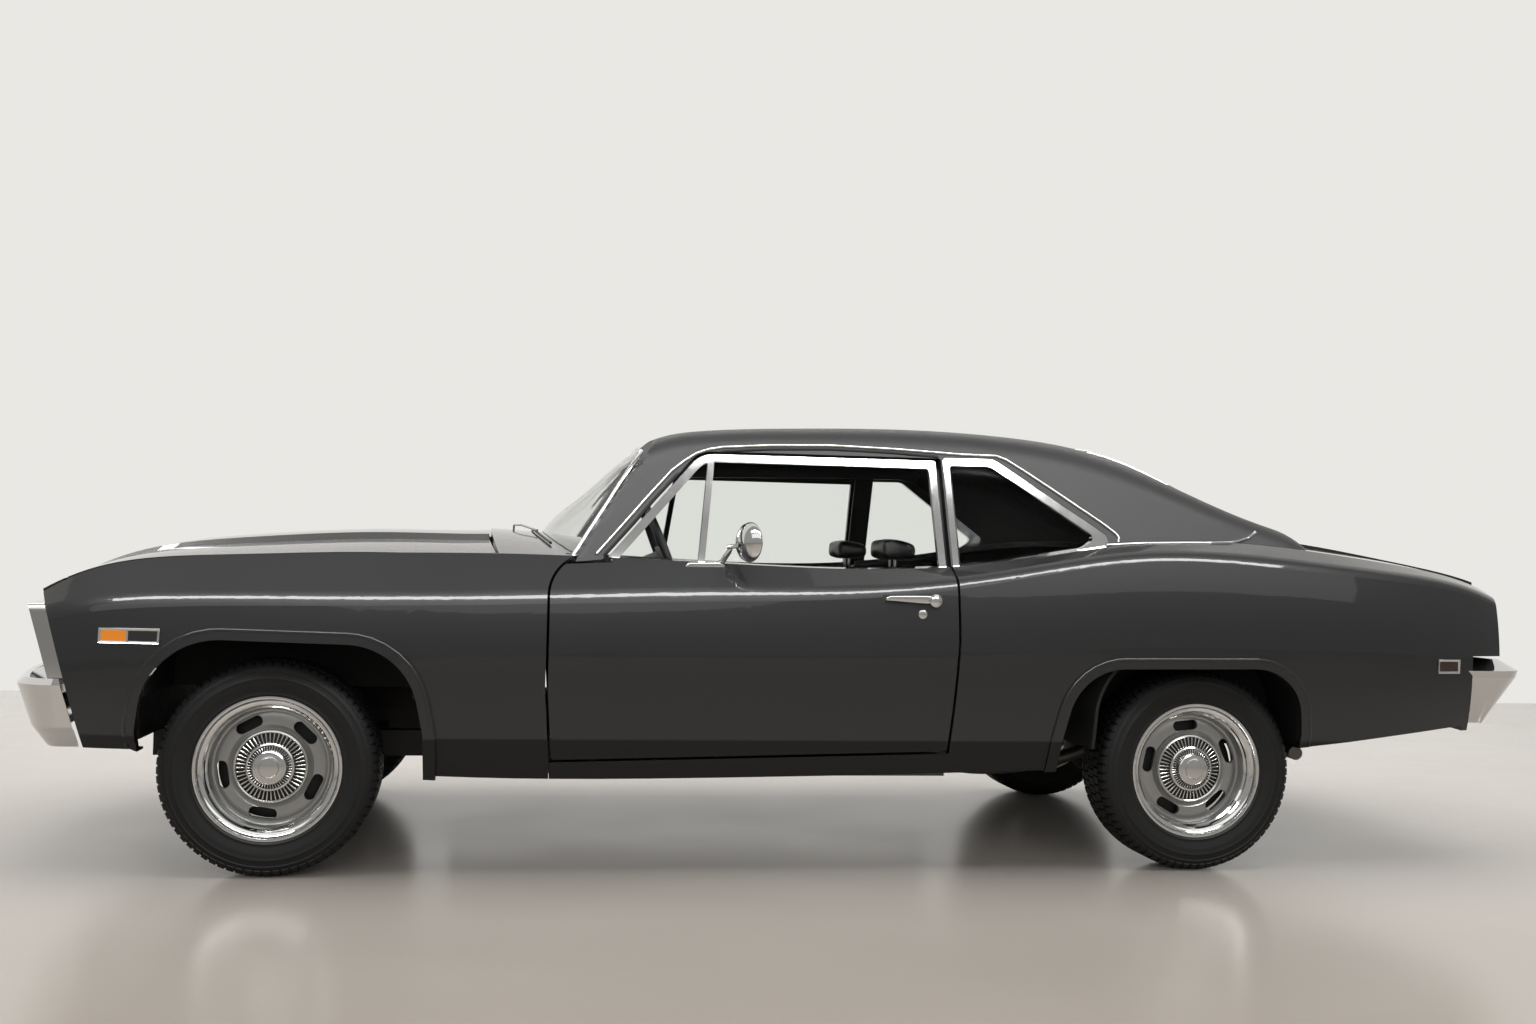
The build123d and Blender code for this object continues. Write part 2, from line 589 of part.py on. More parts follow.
# ------------------------------------------------------------------ bumpers
BUMPER_SHEET = 14.0
BUMPER_END = 2406.0          # both bumpers reach this far from the origin
FRONT_BUMPER = [(-20, 566), (0, 549), (-42, 425), (-88, 366)]     # outward, Z
REAR_BUMPER = [(-60, 671), (0, 637), (-6, 615), (-108, 459)]


def bumper(profile, side_x, side_y, wrap_x, wrap_y, end_x, sign):
    """Pressed blade swept along a bowed path with wrapped ends; sign is +1 at the front."""
    reach = BUMPER_END * sign
    middle = ThreePointArc((side_x, side_y), (reach, 0), (side_x, -side_y))
    radius = ((reach - side_x) ** 2 + side_y ** 2) / (2 * abs(reach - side_x))
    lean = side_y / radius
    out = (-sign * lean, (1 - lean ** 2) ** 0.5)
    left = Edge.make_tangent_arc((side_x, side_y), out, (wrap_x, wrap_y))
    right = Edge.make_tangent_arc((side_x, -side_y), (out[0], -out[1]), (wrap_x, -wrap_y))
    start = Edge.make_line((end_x, wrap_y), (wrap_x, wrap_y))
    finish = Edge.make_line((wrap_x, -wrap_y), (end_x, -wrap_y))
    path = Wire([start, left, *middle.edges(), right, finish])
    pts = [(n, z) for n, z in profile] + [(n - BUMPER_SHEET, z + (4 if i else -2))
                                          for i, (n, z) in reversed(list(enumerate(profile)))]
    section = make_face(Wire([Edge.make_line((end_x, wrap_y + a[0], a[1]), (end_x, wrap_y + b[0], b[1]))
                              for a, b in zip(pts, pts[1:] + pts[:1])]))
    return sweep(section, path=path)


ARM_Y = 420.0
front_blade = bumper(FRONT_BUMPER, 2296, 745, 2170, 858, 2090, 1) - nose_prism(12)
front_arm = block(2050, 2337, ARM_Y - 22, ARM_Y + 22, 440, 490) - nose
front_bumper = front_blade + front_arm + mirrored(front_arm)
rear_blade = bumper(REAR_BUMPER, -2388, 745, -2262, 858, -2140, -1)
rear_arm = block(-2342, -2200, ARM_Y - 22, ARM_Y + 22, 540, 580) - tail_low
rear_bumper = (rear_blade - (body_top & tail_stepped)) + rear_arm + mirrored(rear_arm)
keep("front_bumper", front_bumper)
keep("rear_bumper", rear_bumper)

# ------------------------------------------------------------------ nose: surround, grille, lamps
SURROUND_DEPTH = 45.0
SURROUND_LOW_Z, SURROUND_HIGH_Z = 548.0, 778.0
SURROUND_HALF = 812.0
GRILLE_LOW_Z, GRILLE_HIGH_Z = 574.0, 754.0
GRILLE_HALF = 772.0
LAMP_Y, LAMP_Z, LAMP_R = 640.0, 664.0, 88.0


def nose_slab(front, back):
    """Layer parallel to the nose face, between two distances ahead of it."""
    return nose_prism(front) - nose_prism(back)


surround_outline = prism_x([(-SURROUND_HALF, SURROUND_LOW_Z), (-SURROUND_HALF, SURROUND_HIGH_Z),
                            (SURROUND_HALF, SURROUND_HIGH_Z), (SURROUND_HALF, SURROUND_LOW_Z)],
                           1900, 2500, [14, 20, 20, 14])
surround_hole = prism_x([(-GRILLE_HALF, GRILLE_LOW_Z), (-GRILLE_HALF, GRILLE_HIGH_Z),
                         (GRILLE_HALF, GRILLE_HIGH_Z), (GRILLE_HALF, GRILLE_LOW_Z)],
                        1900, 2500, [30, 30, 30, 30])
surround = nose_slab(SURROUND_DEPTH, 0) & (surround_outline - surround_hole)
keep("grille_surround", surround)

lamp_bore = rod_x(LAMP_Y, LAMP_Z, 2000, 2500, LAMP_R)
lamp_bores = lamp_bore + mirrored(lamp_bore)
GRILLE_BARS = 8
GRILLE_PITCH = (GRILLE_HIGH_Z - GRILLE_LOW_Z) / (GRILLE_BARS + 1)
BAR_HALF = 3.0               # half the thickness of a grille bar or rib
bar_heights = [GRILLE_LOW_Z + GRILLE_PITCH * (i + 1) for i in range(GRILLE_BARS)]
bars = [block(2000, 2500, -GRILLE_HALF, GRILLE_HALF, z - BAR_HALF, z + BAR_HALF) for z in bar_heights]
ribs = [block(2000, 2500, y - BAR_HALF, y + BAR_HALF, GRILLE_LOW_Z, GRILLE_HIGH_Z)
        for y in range(-480, 481, 120)]
lamp_pods = rod_x(LAMP_Y, LAMP_Z, 2000, 2500, LAMP_R + 14)
lamp_pods = lamp_pods + mirrored(lamp_pods)
grille = nose_slab(24, 4) & surround_hole & (bars[0].fuse(*bars[1:], *ribs, *lamp_pods.solids()))
grille = grille - lamp_bores
keep("grille", grille)
headlamp = rod_x(LAMP_Y, LAMP_Z, 2060, 2300, LAMP_R - 0.5) & (nose_prism(20) - nose_prism(-60))
keep("headlamps", headlamp + mirrored(headlamp))
turn_lamp = block(2000, 2400, 560, 690, 430, 490) & nose_slab(8, 0)
keep("turn_lamps", turn_lamp + mirrored(turn_lamp))
tail_lamp = block(-2600, -2200, 370, 660, 712, 812) & (tail_prism(14) - tail)
keep("tail_lamps", tail_lamp + mirrored(tail_lamp))
front_marker = (block(1873, 2044, 800, 1000, 671, 715) & body_loft(-7, BODY_STATIONS[:6])) - outer
rear_marker = (block(-2122, -2039, 700, 1000, 628, 674) & body_loft(-7, BODY_STATIONS[9:])) - outer
markers = front_marker + rear_marker
keep("side_markers", markers + mirrored(markers))

# ------------------------------------------------------------------ door fittings
handle = block(-393, -219, 885, 930, 826, 846) - outer
handle_button = Pos(-372, 900, 838) * Rot(90, 0, 0) * Cylinder(20, 70)
handle = handle + (handle_button & block(-400, -340, 880, 928, 800, 870)) - outer
lock = (Pos(-335, 905, 792) * Rot(90, 0, 0) * Cylinder(14, 40)) - outer - door
lock = lock & block(-400, -300, 880, 924, 700, 850)
MIRROR_X, MIRROR_Y, MIRROR_Z, MIRROR_R = 205.0, 869.0, 998.0, 60.0
mirror_head = Pos(MIRROR_X, MIRROR_Y, MIRROR_Z) * Rot(0, 90, 0) * Cone(MIRROR_R, MIRROR_R * 0.55, 42)
mirror_stalk = Pos(250, 845, 952) * Rot(0, -38, 0) * Cylinder(9, 96)
mirror_foot = block(215, 330, 815, 855, 915, 936)
door_mirror = (mirror_head + mirror_stalk + mirror_foot) - outer
both_doors = [*door_frame.solids(), *handle.solids(), *lock.solids()]
keep("door_brightwork_left", Compound(children=[*both_doors, *door_mirror.solids()]))
keep("door_brightwork_right", mirrored(Compound(children=both_doors)))

# ------------------------------------------------------------------ unibody structure
FLOOR_Z = 318.0
RAIL_FRONT_X = 1985.0
KICK_X = -560.0
FLOOR_T = 20.0
FIREWALL_X = 868.0
TUNNEL_HALF, TUNNEL_TOP = 130.0, 470.0
TRUNK_FLOOR_Z = 520.0
tunnel_cut = block(-900, 900, -TUNNEL_HALF + 14, TUNNEL_HALF - 14, 200, TUNNEL_TOP - 14)
floor = block(KICK_X, FIREWALL_X, -QUARTER_IN_Y, QUARTER_IN_Y, FLOOR_Z, FLOOR_Z + FLOOR_T)
floor = floor + block(KICK_X, FIREWALL_X, -TUNNEL_HALF, TUNNEL_HALF, FLOOR_Z, TUNNEL_TOP)
floor = floor + block(KICK_X - FLOOR_T, KICK_X, -600, 600, FLOOR_Z, TRUNK_FLOOR_Z)
floor = floor + block(-1720, KICK_X, -600, 600, TRUNK_FLOOR_Z - FLOOR_T, TRUNK_FLOOR_Z)
floor = floor + block(-1740, -1720, -600, 600, 470, TRUNK_FLOOR_Z) + block(-2200, -1720, -600, 600, 470, 490)
floor = floor - tunnel_cut
keep("floor_pan", floor)
firewall = block(FIREWALL_X, FIREWALL_X + 16, 0, QUARTER_IN_Y, FLOOR_Z, 1100) & folded
firewall = firewall + mirrored(firewall)
cowl = block(FIREWALL_X, 930, -720, 720, 905, 925)
pillar = block(800, FIREWALL_X + 16, QUARTER_IN_Y, 868, FLOOR_Z + 30, 905) & folded
firewall = (firewall + cowl + pillar + mirrored(pillar)) - tunnel_cut
keep("firewall", firewall)
sill_top_z = DOOR_BOTTOM_Z + SILL_RISE - PANEL_GAP
lock_pillar = block(-540, -466, QUARTER_IN_Y, 860, sill_top_z, 900) & folded
lock_pillar = lock_pillar + (block(-540, -440, QUARTER_IN_Y, 850, 340, sill_top_z) & folded)


sill = rocker + (lock_pillar - rocker)
keep("sill_beams", sill + mirrored(sill))


HOUSE_T = 10.0               # thickness of the wheelhouse sheet


def wheelhouse(axle_x, half_len, low, top, inner_y, outer_y, wall_y, corner):
    """Sheet over a wheel: arched roof and inner wall, inside the outer skin."""
    front, rear = axle_x + half_len, axle_x - half_len
    arch = [(front, low), (front, top), (rear, top), (rear, low)]
    hole = [(front - HOUSE_T, 300), (front - HOUSE_T, top - HOUSE_T), (rear + HOUSE_T, top - HOUSE_T),
            (rear + HOUSE_T, 300)]
    arch_r = [0, corner, corner, 0]
    hole_r = [0, corner - HOUSE_T, corner - HOUSE_T, 0]
    shell = prism_y(arch, inner_y, outer_y, arch_r) - prism_y(hole, inner_y, outer_y, hole_r)
    return (shell + prism_y(arch, wall_y, inner_y, arch_r)) & folded


rear_house = wheelhouse(REAR_AXLE_X - 5, 352, 380, 690, 612, 892, 600, 200)
front_house = wheelhouse(FRONT_AXLE_X - 30, 385, 520, 722, 480, 880, 468, 150)
keep("rear_wheelhouses", rear_house + mirrored(rear_house))
keep("front_wheelhouses", front_house + mirrored(front_house))
support = block(RAIL_FRONT_X - 20, RAIL_FRONT_X, -700, 700, 380, 800)
HOOD_REST_Z = 930.6          # just under the closed hood's inner face
hood_rest = block(RAIL_FRONT_X - 20, RAIL_FRONT_X, -40, 40, 780, HOOD_REST_Z)

# ------------------------------------------------------------------ running gear
RAIL_Y = 410.0
RAIL_IN_Y, RAIL_OUT_Y = RAIL_Y - 32, RAIL_Y + 32
RAIL_LOW_Z = 246.0           # underside of the rail's rear end, where a jack bears
rail = block(900, RAIL_FRONT_X, RAIL_IN_Y, RAIL_OUT_Y, 300, 380)
rail = rail + block(560, 960, RAIL_IN_Y, RAIL_OUT_Y, RAIL_LOW_Z, FLOOR_Z)
rail = rail + block(900, 960, RAIL_IN_Y, RAIL_OUT_Y, RAIL_LOW_Z, 380)
cross = block(FRONT_AXLE_X - 70, FRONT_AXLE_X + 70, -RAIL_Y, RAIL_Y, 215, 300)
tower = block(FRONT_AXLE_X - 60, FRONT_AXLE_X + 60, RAIL_Y - 20, RAIL_Y + 40, 380, 560)
subframe = rail + mirrored(rail) + cross + tower + mirrored(tower) + support + hood_rest
keep("front_subframe", subframe)

BALL_LOW_Z, BALL_HIGH_Z = 205.0, 425.0
ARM_IN_Y = RAIL_Y + 40


def control_arm(z_in, z_out, inner_half):
    """Flat A-shaped arm from the frame out to the ball joint."""
    plan = prism_z([(FRONT_AXLE_X - inner_half, ARM_IN_Y), (FRONT_AXLE_X - inner_half + 30, ARM_IN_Y + 60),
                    (FRONT_AXLE_X - 26, 590), (FRONT_AXLE_X - 26, KINGPIN_Y + 14),
                    (FRONT_AXLE_X + 26, KINGPIN_Y + 14), (FRONT_AXLE_X + 26, 590),
                    (FRONT_AXLE_X + inner_half - 30, ARM_IN_Y + 60), (FRONT_AXLE_X + inner_half, ARM_IN_Y)],
                   100, 700)
    drop = (z_out + 10 - z_in - 24) / (KINGPIN_Y - ARM_IN_Y) * 20
    rise = (z_out - 10 - z_in) / (KINGPIN_Y - ARM_IN_Y) * 20
    end = KINGPIN_Y + 20
    side = [(ARM_IN_Y, z_in), (ARM_IN_Y, z_in + 24), (end, z_out + 10 + drop), (end, z_out - 10 + rise)]
    return plan & prism_x(side, 1200, 2000)


LOWER_ARM_HALF = 170.0       # half the lower arm's width at its pivots
lower_arm = control_arm(230, BALL_LOW_Z, LOWER_ARM_HALF)
lower_arm = lower_arm + block(FRONT_AXLE_X - LOWER_ARM_HALF, FRONT_AXLE_X + LOWER_ARM_HALF,
                              RAIL_OUT_Y, ARM_IN_Y, 230, 254)
lower_arm = lower_arm + block(FRONT_AXLE_X - 60, FRONT_AXLE_X + 60, RAIL_IN_Y, RAIL_OUT_Y, 230, 300)
lower_arm = lower_arm - subframe
upper_arm = control_arm(470, BALL_HIGH_Z, 56) - subframe
arms = lower_arm + upper_arm
keep("control_arms", Compound(children=[*arms.solids(), *mirrored(arms).solids()]))

SPINDLE_R = 18.0
SPINDLE_OUT = 18.0           # spindle end, outboard of the wheel's middle
HUB_CLEAR = 0.3
knuckle = block(FRONT_AXLE_X - 30, FRONT_AXLE_X + 30, KINGPIN_Y - 12, KINGPIN_Y + 14,
                BALL_LOW_Z + 15.0, BALL_HIGH_Z - 15.0)
knuckle = knuckle + rod_y(FRONT_AXLE_X, AXLE_Z, KINGPIN_Y + 10, WHEEL_Y + SPINDLE_OUT, SPINDLE_R)
knuckle = knuckle + block(FRONT_AXLE_X - 150, FRONT_AXLE_X - 20, KINGPIN_Y - 34, KINGPIN_Y - 12, 300, 326)
keep("knuckle_left", knuckle)
keep("knuckle_right", mirrored(knuckle))

AXLE_TUBE_R = 38.0
DRUM_R = 135.0               # brake drums, and the differential's round case
axle = rod_y(REAR_AXLE_X, AXLE_Z, -650, 650, AXLE_TUBE_R)
axle = axle + Pos(REAR_AXLE_X, 0, AXLE_Z) * Sphere(DRUM_R)
axle = axle + rod_y(REAR_AXLE_X, AXLE_Z, -664, -650, DRUM_R) + rod_y(REAR_AXLE_X, AXLE_Z, 650, 664, DRUM_R)
axle = axle + rod_y(REAR_AXLE_X, AXLE_Z, -WHEEL_Y - SPINDLE_OUT, WHEEL_Y + SPINDLE_OUT, SPINDLE_R)
keep("rear_axle", axle)
SPRING_Y = 545.0
LEAF_FRONT_X, LEAF_REAR_X = -610.0, -1890.0
leaf = prism_y([(LEAF_FRONT_X, 396), (REAR_AXLE_X, 351), (LEAF_REAR_X, 430), (LEAF_REAR_X, 444),
                (REAR_AXLE_X, 385), (LEAF_FRONT_X, 410)], SPRING_Y - 30, SPRING_Y + 30) - axle
HANGER_IN_Y, HANGER_OUT_Y = SPRING_Y - 38, SPRING_Y + 38
leaf = leaf + block(LEAF_FRONT_X - 20, LEAF_FRONT_X + 20, HANGER_IN_Y, HANGER_OUT_Y,
                    396, TRUNK_FLOOR_Z - FLOOR_T)
leaf = leaf + block(LEAF_REAR_X - 12, LEAF_REAR_X + 12, HANGER_IN_Y, HANGER_OUT_Y, 430, 470)
keep("leaf_springs", leaf + mirrored(leaf))
ENGINE_REAR_X, ENGINE_FRONT_X = 1010.0, 1540.0
CRANKCASE = [(-130, 290), (-130, 420), (-190, 560), (190, 560), (130, 420), (130, 290)]
CYLINDER_BANK = [(120, 480), (95, 640), (185, 720), (300, 620), (255, 500)]
FAN_Z = 520.0
crankcase = prism_x(CRANKCASE, ENGINE_REAR_X, ENGINE_FRONT_X - 50)
bank = prism_x(CYLINDER_BANK, ENGINE_REAR_X + 30, ENGINE_FRONT_X - 10, [0, 0, 30, 30, 10])
manifold = block(1090, 1480, -110, 110, 540, 700) + block(1240, 1340, -60, 60, 700, 785)
air_cleaner = rod_z(1290, 0, 780, 850, 190)
pulleys = rod_x(0, 400, ENGINE_FRONT_X - 60, 1600, 85) + rod_x(0, FAN_Z, ENGINE_FRONT_X - 60, 1640, 55)
fan = rod_x(0, FAN_Z, 1640, 1656, 200)
engine_arm = block(1300, 1380, 120, RAIL_Y - 32, 335, 375)
engine = crankcase + bank + mirrored(bank) + manifold + air_cleaner + pulleys + fan
engine = (engine + engine_arm + mirrored(engine_arm)) - subframe
keep("engine_block", engine)
trans = block(560, 1010, -105, 105, 300, 440) + rod_x(0, 345, -1130, 560, 36)
keep("transmission", trans - axle - engine)

PIPE_Y, PIPE_Z, PIPE_R, TAIL_R = 250.0, 262.0, 27.0, 22.0
pipe_hanger = block(-330, -310, PIPE_Y - 12, PIPE_Y + 12, 300, FLOOR_Z)
silencer = block(-560, -90, PIPE_Y - 100, PIPE_Y + 100, 225, 305)
pipe = rod_x(PIPE_Y, PIPE_Z, -560, 990, PIPE_R) + pipe_hanger + silencer
pipe = pipe + rod_z(970, PIPE_Y, PIPE_Z, 330, PIPE_R)
TAIL_PIPE = [(-550, 250, 262), (-940, 258, 262), (-1140, 320, 345), (-1243, 335, 402), (-1380, 345, 402),
             (-1520, 400, 372), (-1610, 500, 358), (-1650, 700, 350)]
tail_line = Spline(*TAIL_PIPE)
tail_run = sweep(Plane(origin=tail_line @ 0, z_dir=tail_line % 0) * Circle(TAIL_R), tail_line)
exhaust = pipe + tail_run
keep("exhaust", Compound(children=[*exhaust.solids(), *mirrored(exhaust).solids()]))
keep("fuel_tank", block(-2130, -1740, -380, 380, 385, 470))

# ------------------------------------------------------------------ wheels
RIM_R = 210.0
SLOTS, SLOT_R, SLOT_TURN = 5, 136.0, 78.0        # cooling slots in the wheel's disc
SLOT_LENGTH, SLOT_WIDTH = 76.0, 27.0


def tyre_form():
    """Tyre about +Z, outboard up."""
    half = TYRE_WIDTH / 2
    outer_line = Polyline((RIM_R, -88), (RIM_R + 8, -98), (250, -half), (278, -half), (300, -96),
                          (TYRE_R - 3, -82), (TYRE_R, -60), (TYRE_R, 60), (TYRE_R - 3, 82), (300, 96),
                          (278, half), (250, half), (RIM_R + 8, 98), (RIM_R, 88), (RIM_R, 70),
                          (RIM_R + 25, 84), (290, 84), (300, 60), (300, -60), (290, -84),
                          (RIM_R + 25, -84), (RIM_R, -70), close=True)
    return revolve(Plane.XZ * make_face(outer_line), axis=Axis.Z)


def wheel_form():
    """Rolled rim, slotted dished disc and hub about +Z."""
    rim = Polyline((RIM_R, -92), (RIM_R, -66), (196, -62), (186, -40), (178, -20), (178, 40), (192, 62),
                   (RIM_R, 70), (RIM_R, 92), (203, 92), (203, 76), (184, 66), (170, 44), (170, 30),
                   (150, 36), (122, 38), (108, 26), (60, 26), (60, -8), (44, -37), (HUB_BORE, -37),
                   (HUB_BORE, 10), (56, 14), (102, 14), (116, 26), (150, 24), (170, 16), (170, -22),
                   (178, -44), (189, -68), (203, -74), (203, -92), close=True)
    body = revolve(Plane.XZ * make_face(rim), axis=Axis.Z)
    slot_plan = Plane.XY.offset(0) * SlotOverall(SLOT_LENGTH, SLOT_WIDTH, rotation=90)
    slot = Pos(SLOT_R, 0, 0) * extrude(slot_plan, amount=60)
    slots = [Rot(0, 0, 360 / SLOTS * i + SLOT_TURN) * slot for i in range(SLOTS)]
    return body - slots


def trim_form():
    """Bright trim ring inside the rim edge, and the louvred centre with its cap."""
    ring = Polyline((210.6, 92.5), (210.6, 95), (200, 97), (176, 72), (172, 56), (174.5, 55), (185, 68.5),
                    (202.5, 77.5), (202.5, 92.5), close=True)
    ring = revolve(Plane.XZ * make_face(ring), axis=Axis.Z)
    cap = Polyline((0, 30), (0, 82), (26, 82), (30, 78), (46, 74), (48, 62), (62, 59), (66, 57), (70, 52),
                   (72, 46), (98, 40), (101, 45), (105, 43), (107.5, 38), (107.5, 26.4), (60, 26.4),
                   (59.5, 20), (0, 20), close=True)
    cap = revolve(Plane.XZ * make_face(cap), axis=Axis.Z)
    return Compound(children=[*ring.solids(), *cap.solids()])


HUB_BORE = SPINDLE_R + HUB_CLEAR
TYRE = tyre_form()
WHEEL = Compound(children=[*wheel_form().solids(), *trim_form().solids()])
AXLES = (("front", FRONT_AXLE_X), ("rear", REAR_AXLE_X))
for side, sign in (("left", 1), ("right", -1)):
    for end, axle_x in AXLES:
        place = Pos(axle_x, sign * WHEEL_Y, AXLE_Z) * Rot(-90 * sign, 0, 0)
        keep(f"tyre_{end}_{side}", place * TYRE)
        keep(f"wheel_{end}_{side}", place * WHEEL)

# ------------------------------------------------------------------ cabin
SEAT_FOOT_Z = FLOOR_Z + FLOOR_T


def seat(y, x_front, x_back, half, top, head):
    """Cushion, back and headrest of one seat, side view swept across."""
    cushion = prism_y([(x_front, SEAT_FOOT_Z), (x_front + 10, 600), (x_back, 560), (x_back, SEAT_FOOT_Z)],
                      y - half, y + half, [20, 50, 20, 20])
    back = prism_y([(x_back + 60, 540), (x_back - 60, top), (x_back - 150, top - 10), (x_back - 70, 500)],
                   y - half, y + half, [40, 50, 40, 30])
    form = cushion + back
    if head:
        rest = prism_y([(x_back - 60, top + 72), (x_back - 60, top + 144), (x_back - 178, top + 128),
                        (x_back - 178, top + 78)], y - 115, y + 115, [30, 34, 24, 20])
        posts = block(x_back - 126, x_back - 114, y - 46, y - 34, top - 20, top + 90)
        form = form + rest + posts + Pos(0, 80, 0) * posts
    return form


front_seats = seat(385, 200, -240, 240, 880, True)
keep("front_seats", front_seats + mirrored(front_seats))
rear_back = prism_y([(-760, 610), (-880, 925), (-962, 925), (-900, 610)], -560, 560)
rear_bench = block(-1000, -575, -560, 560, TRUNK_FLOOR_Z, 610)
keep("rear_seat", rear_bench + rear_back)
keep("parcel_shelf", block(-1500, -900, -QUARTER_IN_Y, QUARTER_IN_Y, 925, 939))
dash = prism_y([(FIREWALL_X, 720), (FIREWALL_X, 925), (740, 915), (700, 820), (720, 720)], -690, 690,
               [5, 5, 60, 40, 20])
STEER_X, STEER_Y, STEER_Z = 415.0, 380.0, 950.0
COLUMN_TILT = 68.0
STEER_HUB_T = 30.0
COLUMN_LENGTH = 330.0
steer_place = Pos(STEER_X, STEER_Y, STEER_Z) * Rot(0, -COLUMN_TILT, 0)
COLUMN_R, COLUMN_GAP = 22.0, 0.4
column_mid = -STEER_HUB_T / 2 - COLUMN_GAP - COLUMN_LENGTH / 2
column = steer_place * Pos(0, 0, column_mid) * Cylinder(COLUMN_R, COLUMN_LENGTH)
keep("dashboard", dash + column)
rim_wheel = steer_place * (Torus(185, 13) + Cylinder(36, STEER_HUB_T) + Box(360, 26, 8))
keep("steering_wheel", rim_wheel)

os.makedirs("parts", exist_ok=True)
for name, shape in NODES.items():
    export_step(shape, f"parts/{name}.step")
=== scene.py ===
import json
from math import pi, radians, sin, tan

import bpy
from mathutils import Matrix, Vector


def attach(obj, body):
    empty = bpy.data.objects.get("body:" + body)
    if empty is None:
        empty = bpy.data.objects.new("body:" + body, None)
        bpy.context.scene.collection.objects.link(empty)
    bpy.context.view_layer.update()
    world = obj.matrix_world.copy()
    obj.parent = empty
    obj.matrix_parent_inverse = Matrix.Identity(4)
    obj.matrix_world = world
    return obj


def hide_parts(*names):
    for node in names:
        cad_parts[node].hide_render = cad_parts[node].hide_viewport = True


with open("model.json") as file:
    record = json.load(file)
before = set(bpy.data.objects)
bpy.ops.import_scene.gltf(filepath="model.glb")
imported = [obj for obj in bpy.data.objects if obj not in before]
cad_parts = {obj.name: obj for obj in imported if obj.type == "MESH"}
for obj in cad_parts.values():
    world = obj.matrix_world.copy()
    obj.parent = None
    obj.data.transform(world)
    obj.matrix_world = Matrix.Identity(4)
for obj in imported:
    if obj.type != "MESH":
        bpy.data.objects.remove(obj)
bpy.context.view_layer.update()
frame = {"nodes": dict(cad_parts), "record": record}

# ------------------------------------------------------------------ materials


def linear(code):
    """An sRGB hex value as a linear RGBA colour."""
    parts = [int(code[i:i + 2], 16) / 255 for i in (1, 3, 5)]
    return [c / 12.92 if c < 0.04045 else ((c + 0.055) / 1.055) ** 2.4 for c in parts] + [1.0]


def node(mat, kind, settings=None, **links):
    """Adds a node; settings fill its sockets and properties, links join other nodes' outputs."""
    made = mat.node_tree.nodes.new(kind)
    for key, value in (settings or {}).items():
        if isinstance(key, int) or key in made.inputs:
            made.inputs[key].default_value = value
        else:
            setattr(made, key, value)
    for key, source in links.items():
        place = int(key[1:]) if key[0] == "i" and key[1:].isdigit() else key.replace("_", " ")
        mat.node_tree.links.new(source, made.inputs[place])
    return made


def finish_named(name, colour, rough, metal=0.0, **sockets):
    """A material with its surface shader's plain values set."""
    mat = bpy.data.materials.new(name)
    mat.use_nodes = True
    shader = mat.node_tree.nodes["Principled BSDF"]
    shader.inputs["Base Color"].default_value = linear(colour)
    shader.inputs["Roughness"].default_value = rough
    shader.inputs["Metallic"].default_value = metal
    for key, value in sockets.items():
        shader.inputs[key.replace("_", " ")].default_value = value
    return mat


def shader_of(mat):
    return mat.node_tree.nodes["Principled BSDF"]


def join(mat, source, socket):
    """Links one output to the surface shader."""
    mat.node_tree.links.new(source, shader_of(mat).inputs[socket])


def here(mat):
    """Object coordinates, in metres."""
    return node(mat, "ShaderNodeTexCoord").outputs["Object"]


def grained(mat, size_mm, strength, depth_mm, kind="ShaderNodeTexNoise"):
    """Gives a material a fine relief of that grain size."""
    grain = node(mat, kind, {"Scale": 1000 / size_mm}, Vector=here(mat))
    high = grain.outputs["Fac"] if "Fac" in grain.outputs else grain.outputs["Distance"]
    bump = node(mat, "ShaderNodeBump", {"Strength": strength, "Distance": depth_mm / 1000}, Height=high)
    join(mat, bump.outputs["Normal"], "Normal")


def uneven(mat, size_mm, low, high):
    """Roughness that wanders between two values, as handling and washing leave it."""
    patch = node(mat, "ShaderNodeTexNoise", {"Scale": 1000 / size_mm, "Detail": 3.0}, Vector=here(mat))
    spread = node(mat, "ShaderNodeMapRange", {"To Min": low, "To Max": high}, Value=patch.outputs["Fac"])
    join(mat, spread.outputs["Result"], "Roughness")


SHADE_LINE_LOW, SHADE_LINE_HIGH = 0.405, 0.409     # where the painted shade on the sill band starts, in a crisp line, in metres over the ground
SILL_COAT = 0.25                       # the sill band's share of the body's clear coat


def enamel(name, upper, sill_shade_colour):
    """Sprayed and polished enamel, with painted shade: a darker sill band under a crisp line."""
    mat = finish_named(name, upper, 0.36, 0.0, Coat_Weight=1.0, Coat_Roughness=0.03, Coat_IOR=1.38,
                       Specular_IOR_Level=0.3)
    height = node(mat, "ShaderNodeSeparateXYZ", Vector=here(mat)).outputs["Z"]
    band = node(mat, "ShaderNodeValToRGB", {}, Fac=height)
    ramp = band.color_ramp
    ramp.interpolation = "LINEAR"
    for element, place, colour in zip(ramp.elements, (SHADE_LINE_LOW, SHADE_LINE_HIGH), (sill_shade_colour, upper)):
        element.position = place
        element.color = linear(colour)
    join(mat, band.outputs["Color"], "Base Color")
    uneven(mat, 400, 0.33, 0.4)
    limits = {"From Min": SHADE_LINE_LOW, "From Max": SHADE_LINE_HIGH, "To Min": SILL_COAT, "To Max": 1.0}
    gloss = node(mat, "ShaderNodeMapRange", limits, Value=height)
    join(mat, gloss.outputs["Result"], "Coat Weight")
    return mat


# charcoal enamel, polished: deep reflections over a dark ground, duller on the sill band, which painted
# shade darkens
# 060606 is painted shade: the dark of the tuck-under, which faces down to the floor, put into the sill
#                          band's colour
paint = enamel("charcoal_enamel", "#1d1e1f", "#060606")

# grained vinyl, stretched over the roof: satin black with a fine leather grain
vinyl = finish_named("grained_roof_vinyl", "#1e1e1f", 0.5)
grained(vinyl, 3.0, 0.5, 0.5, "ShaderNodeTexVoronoi")

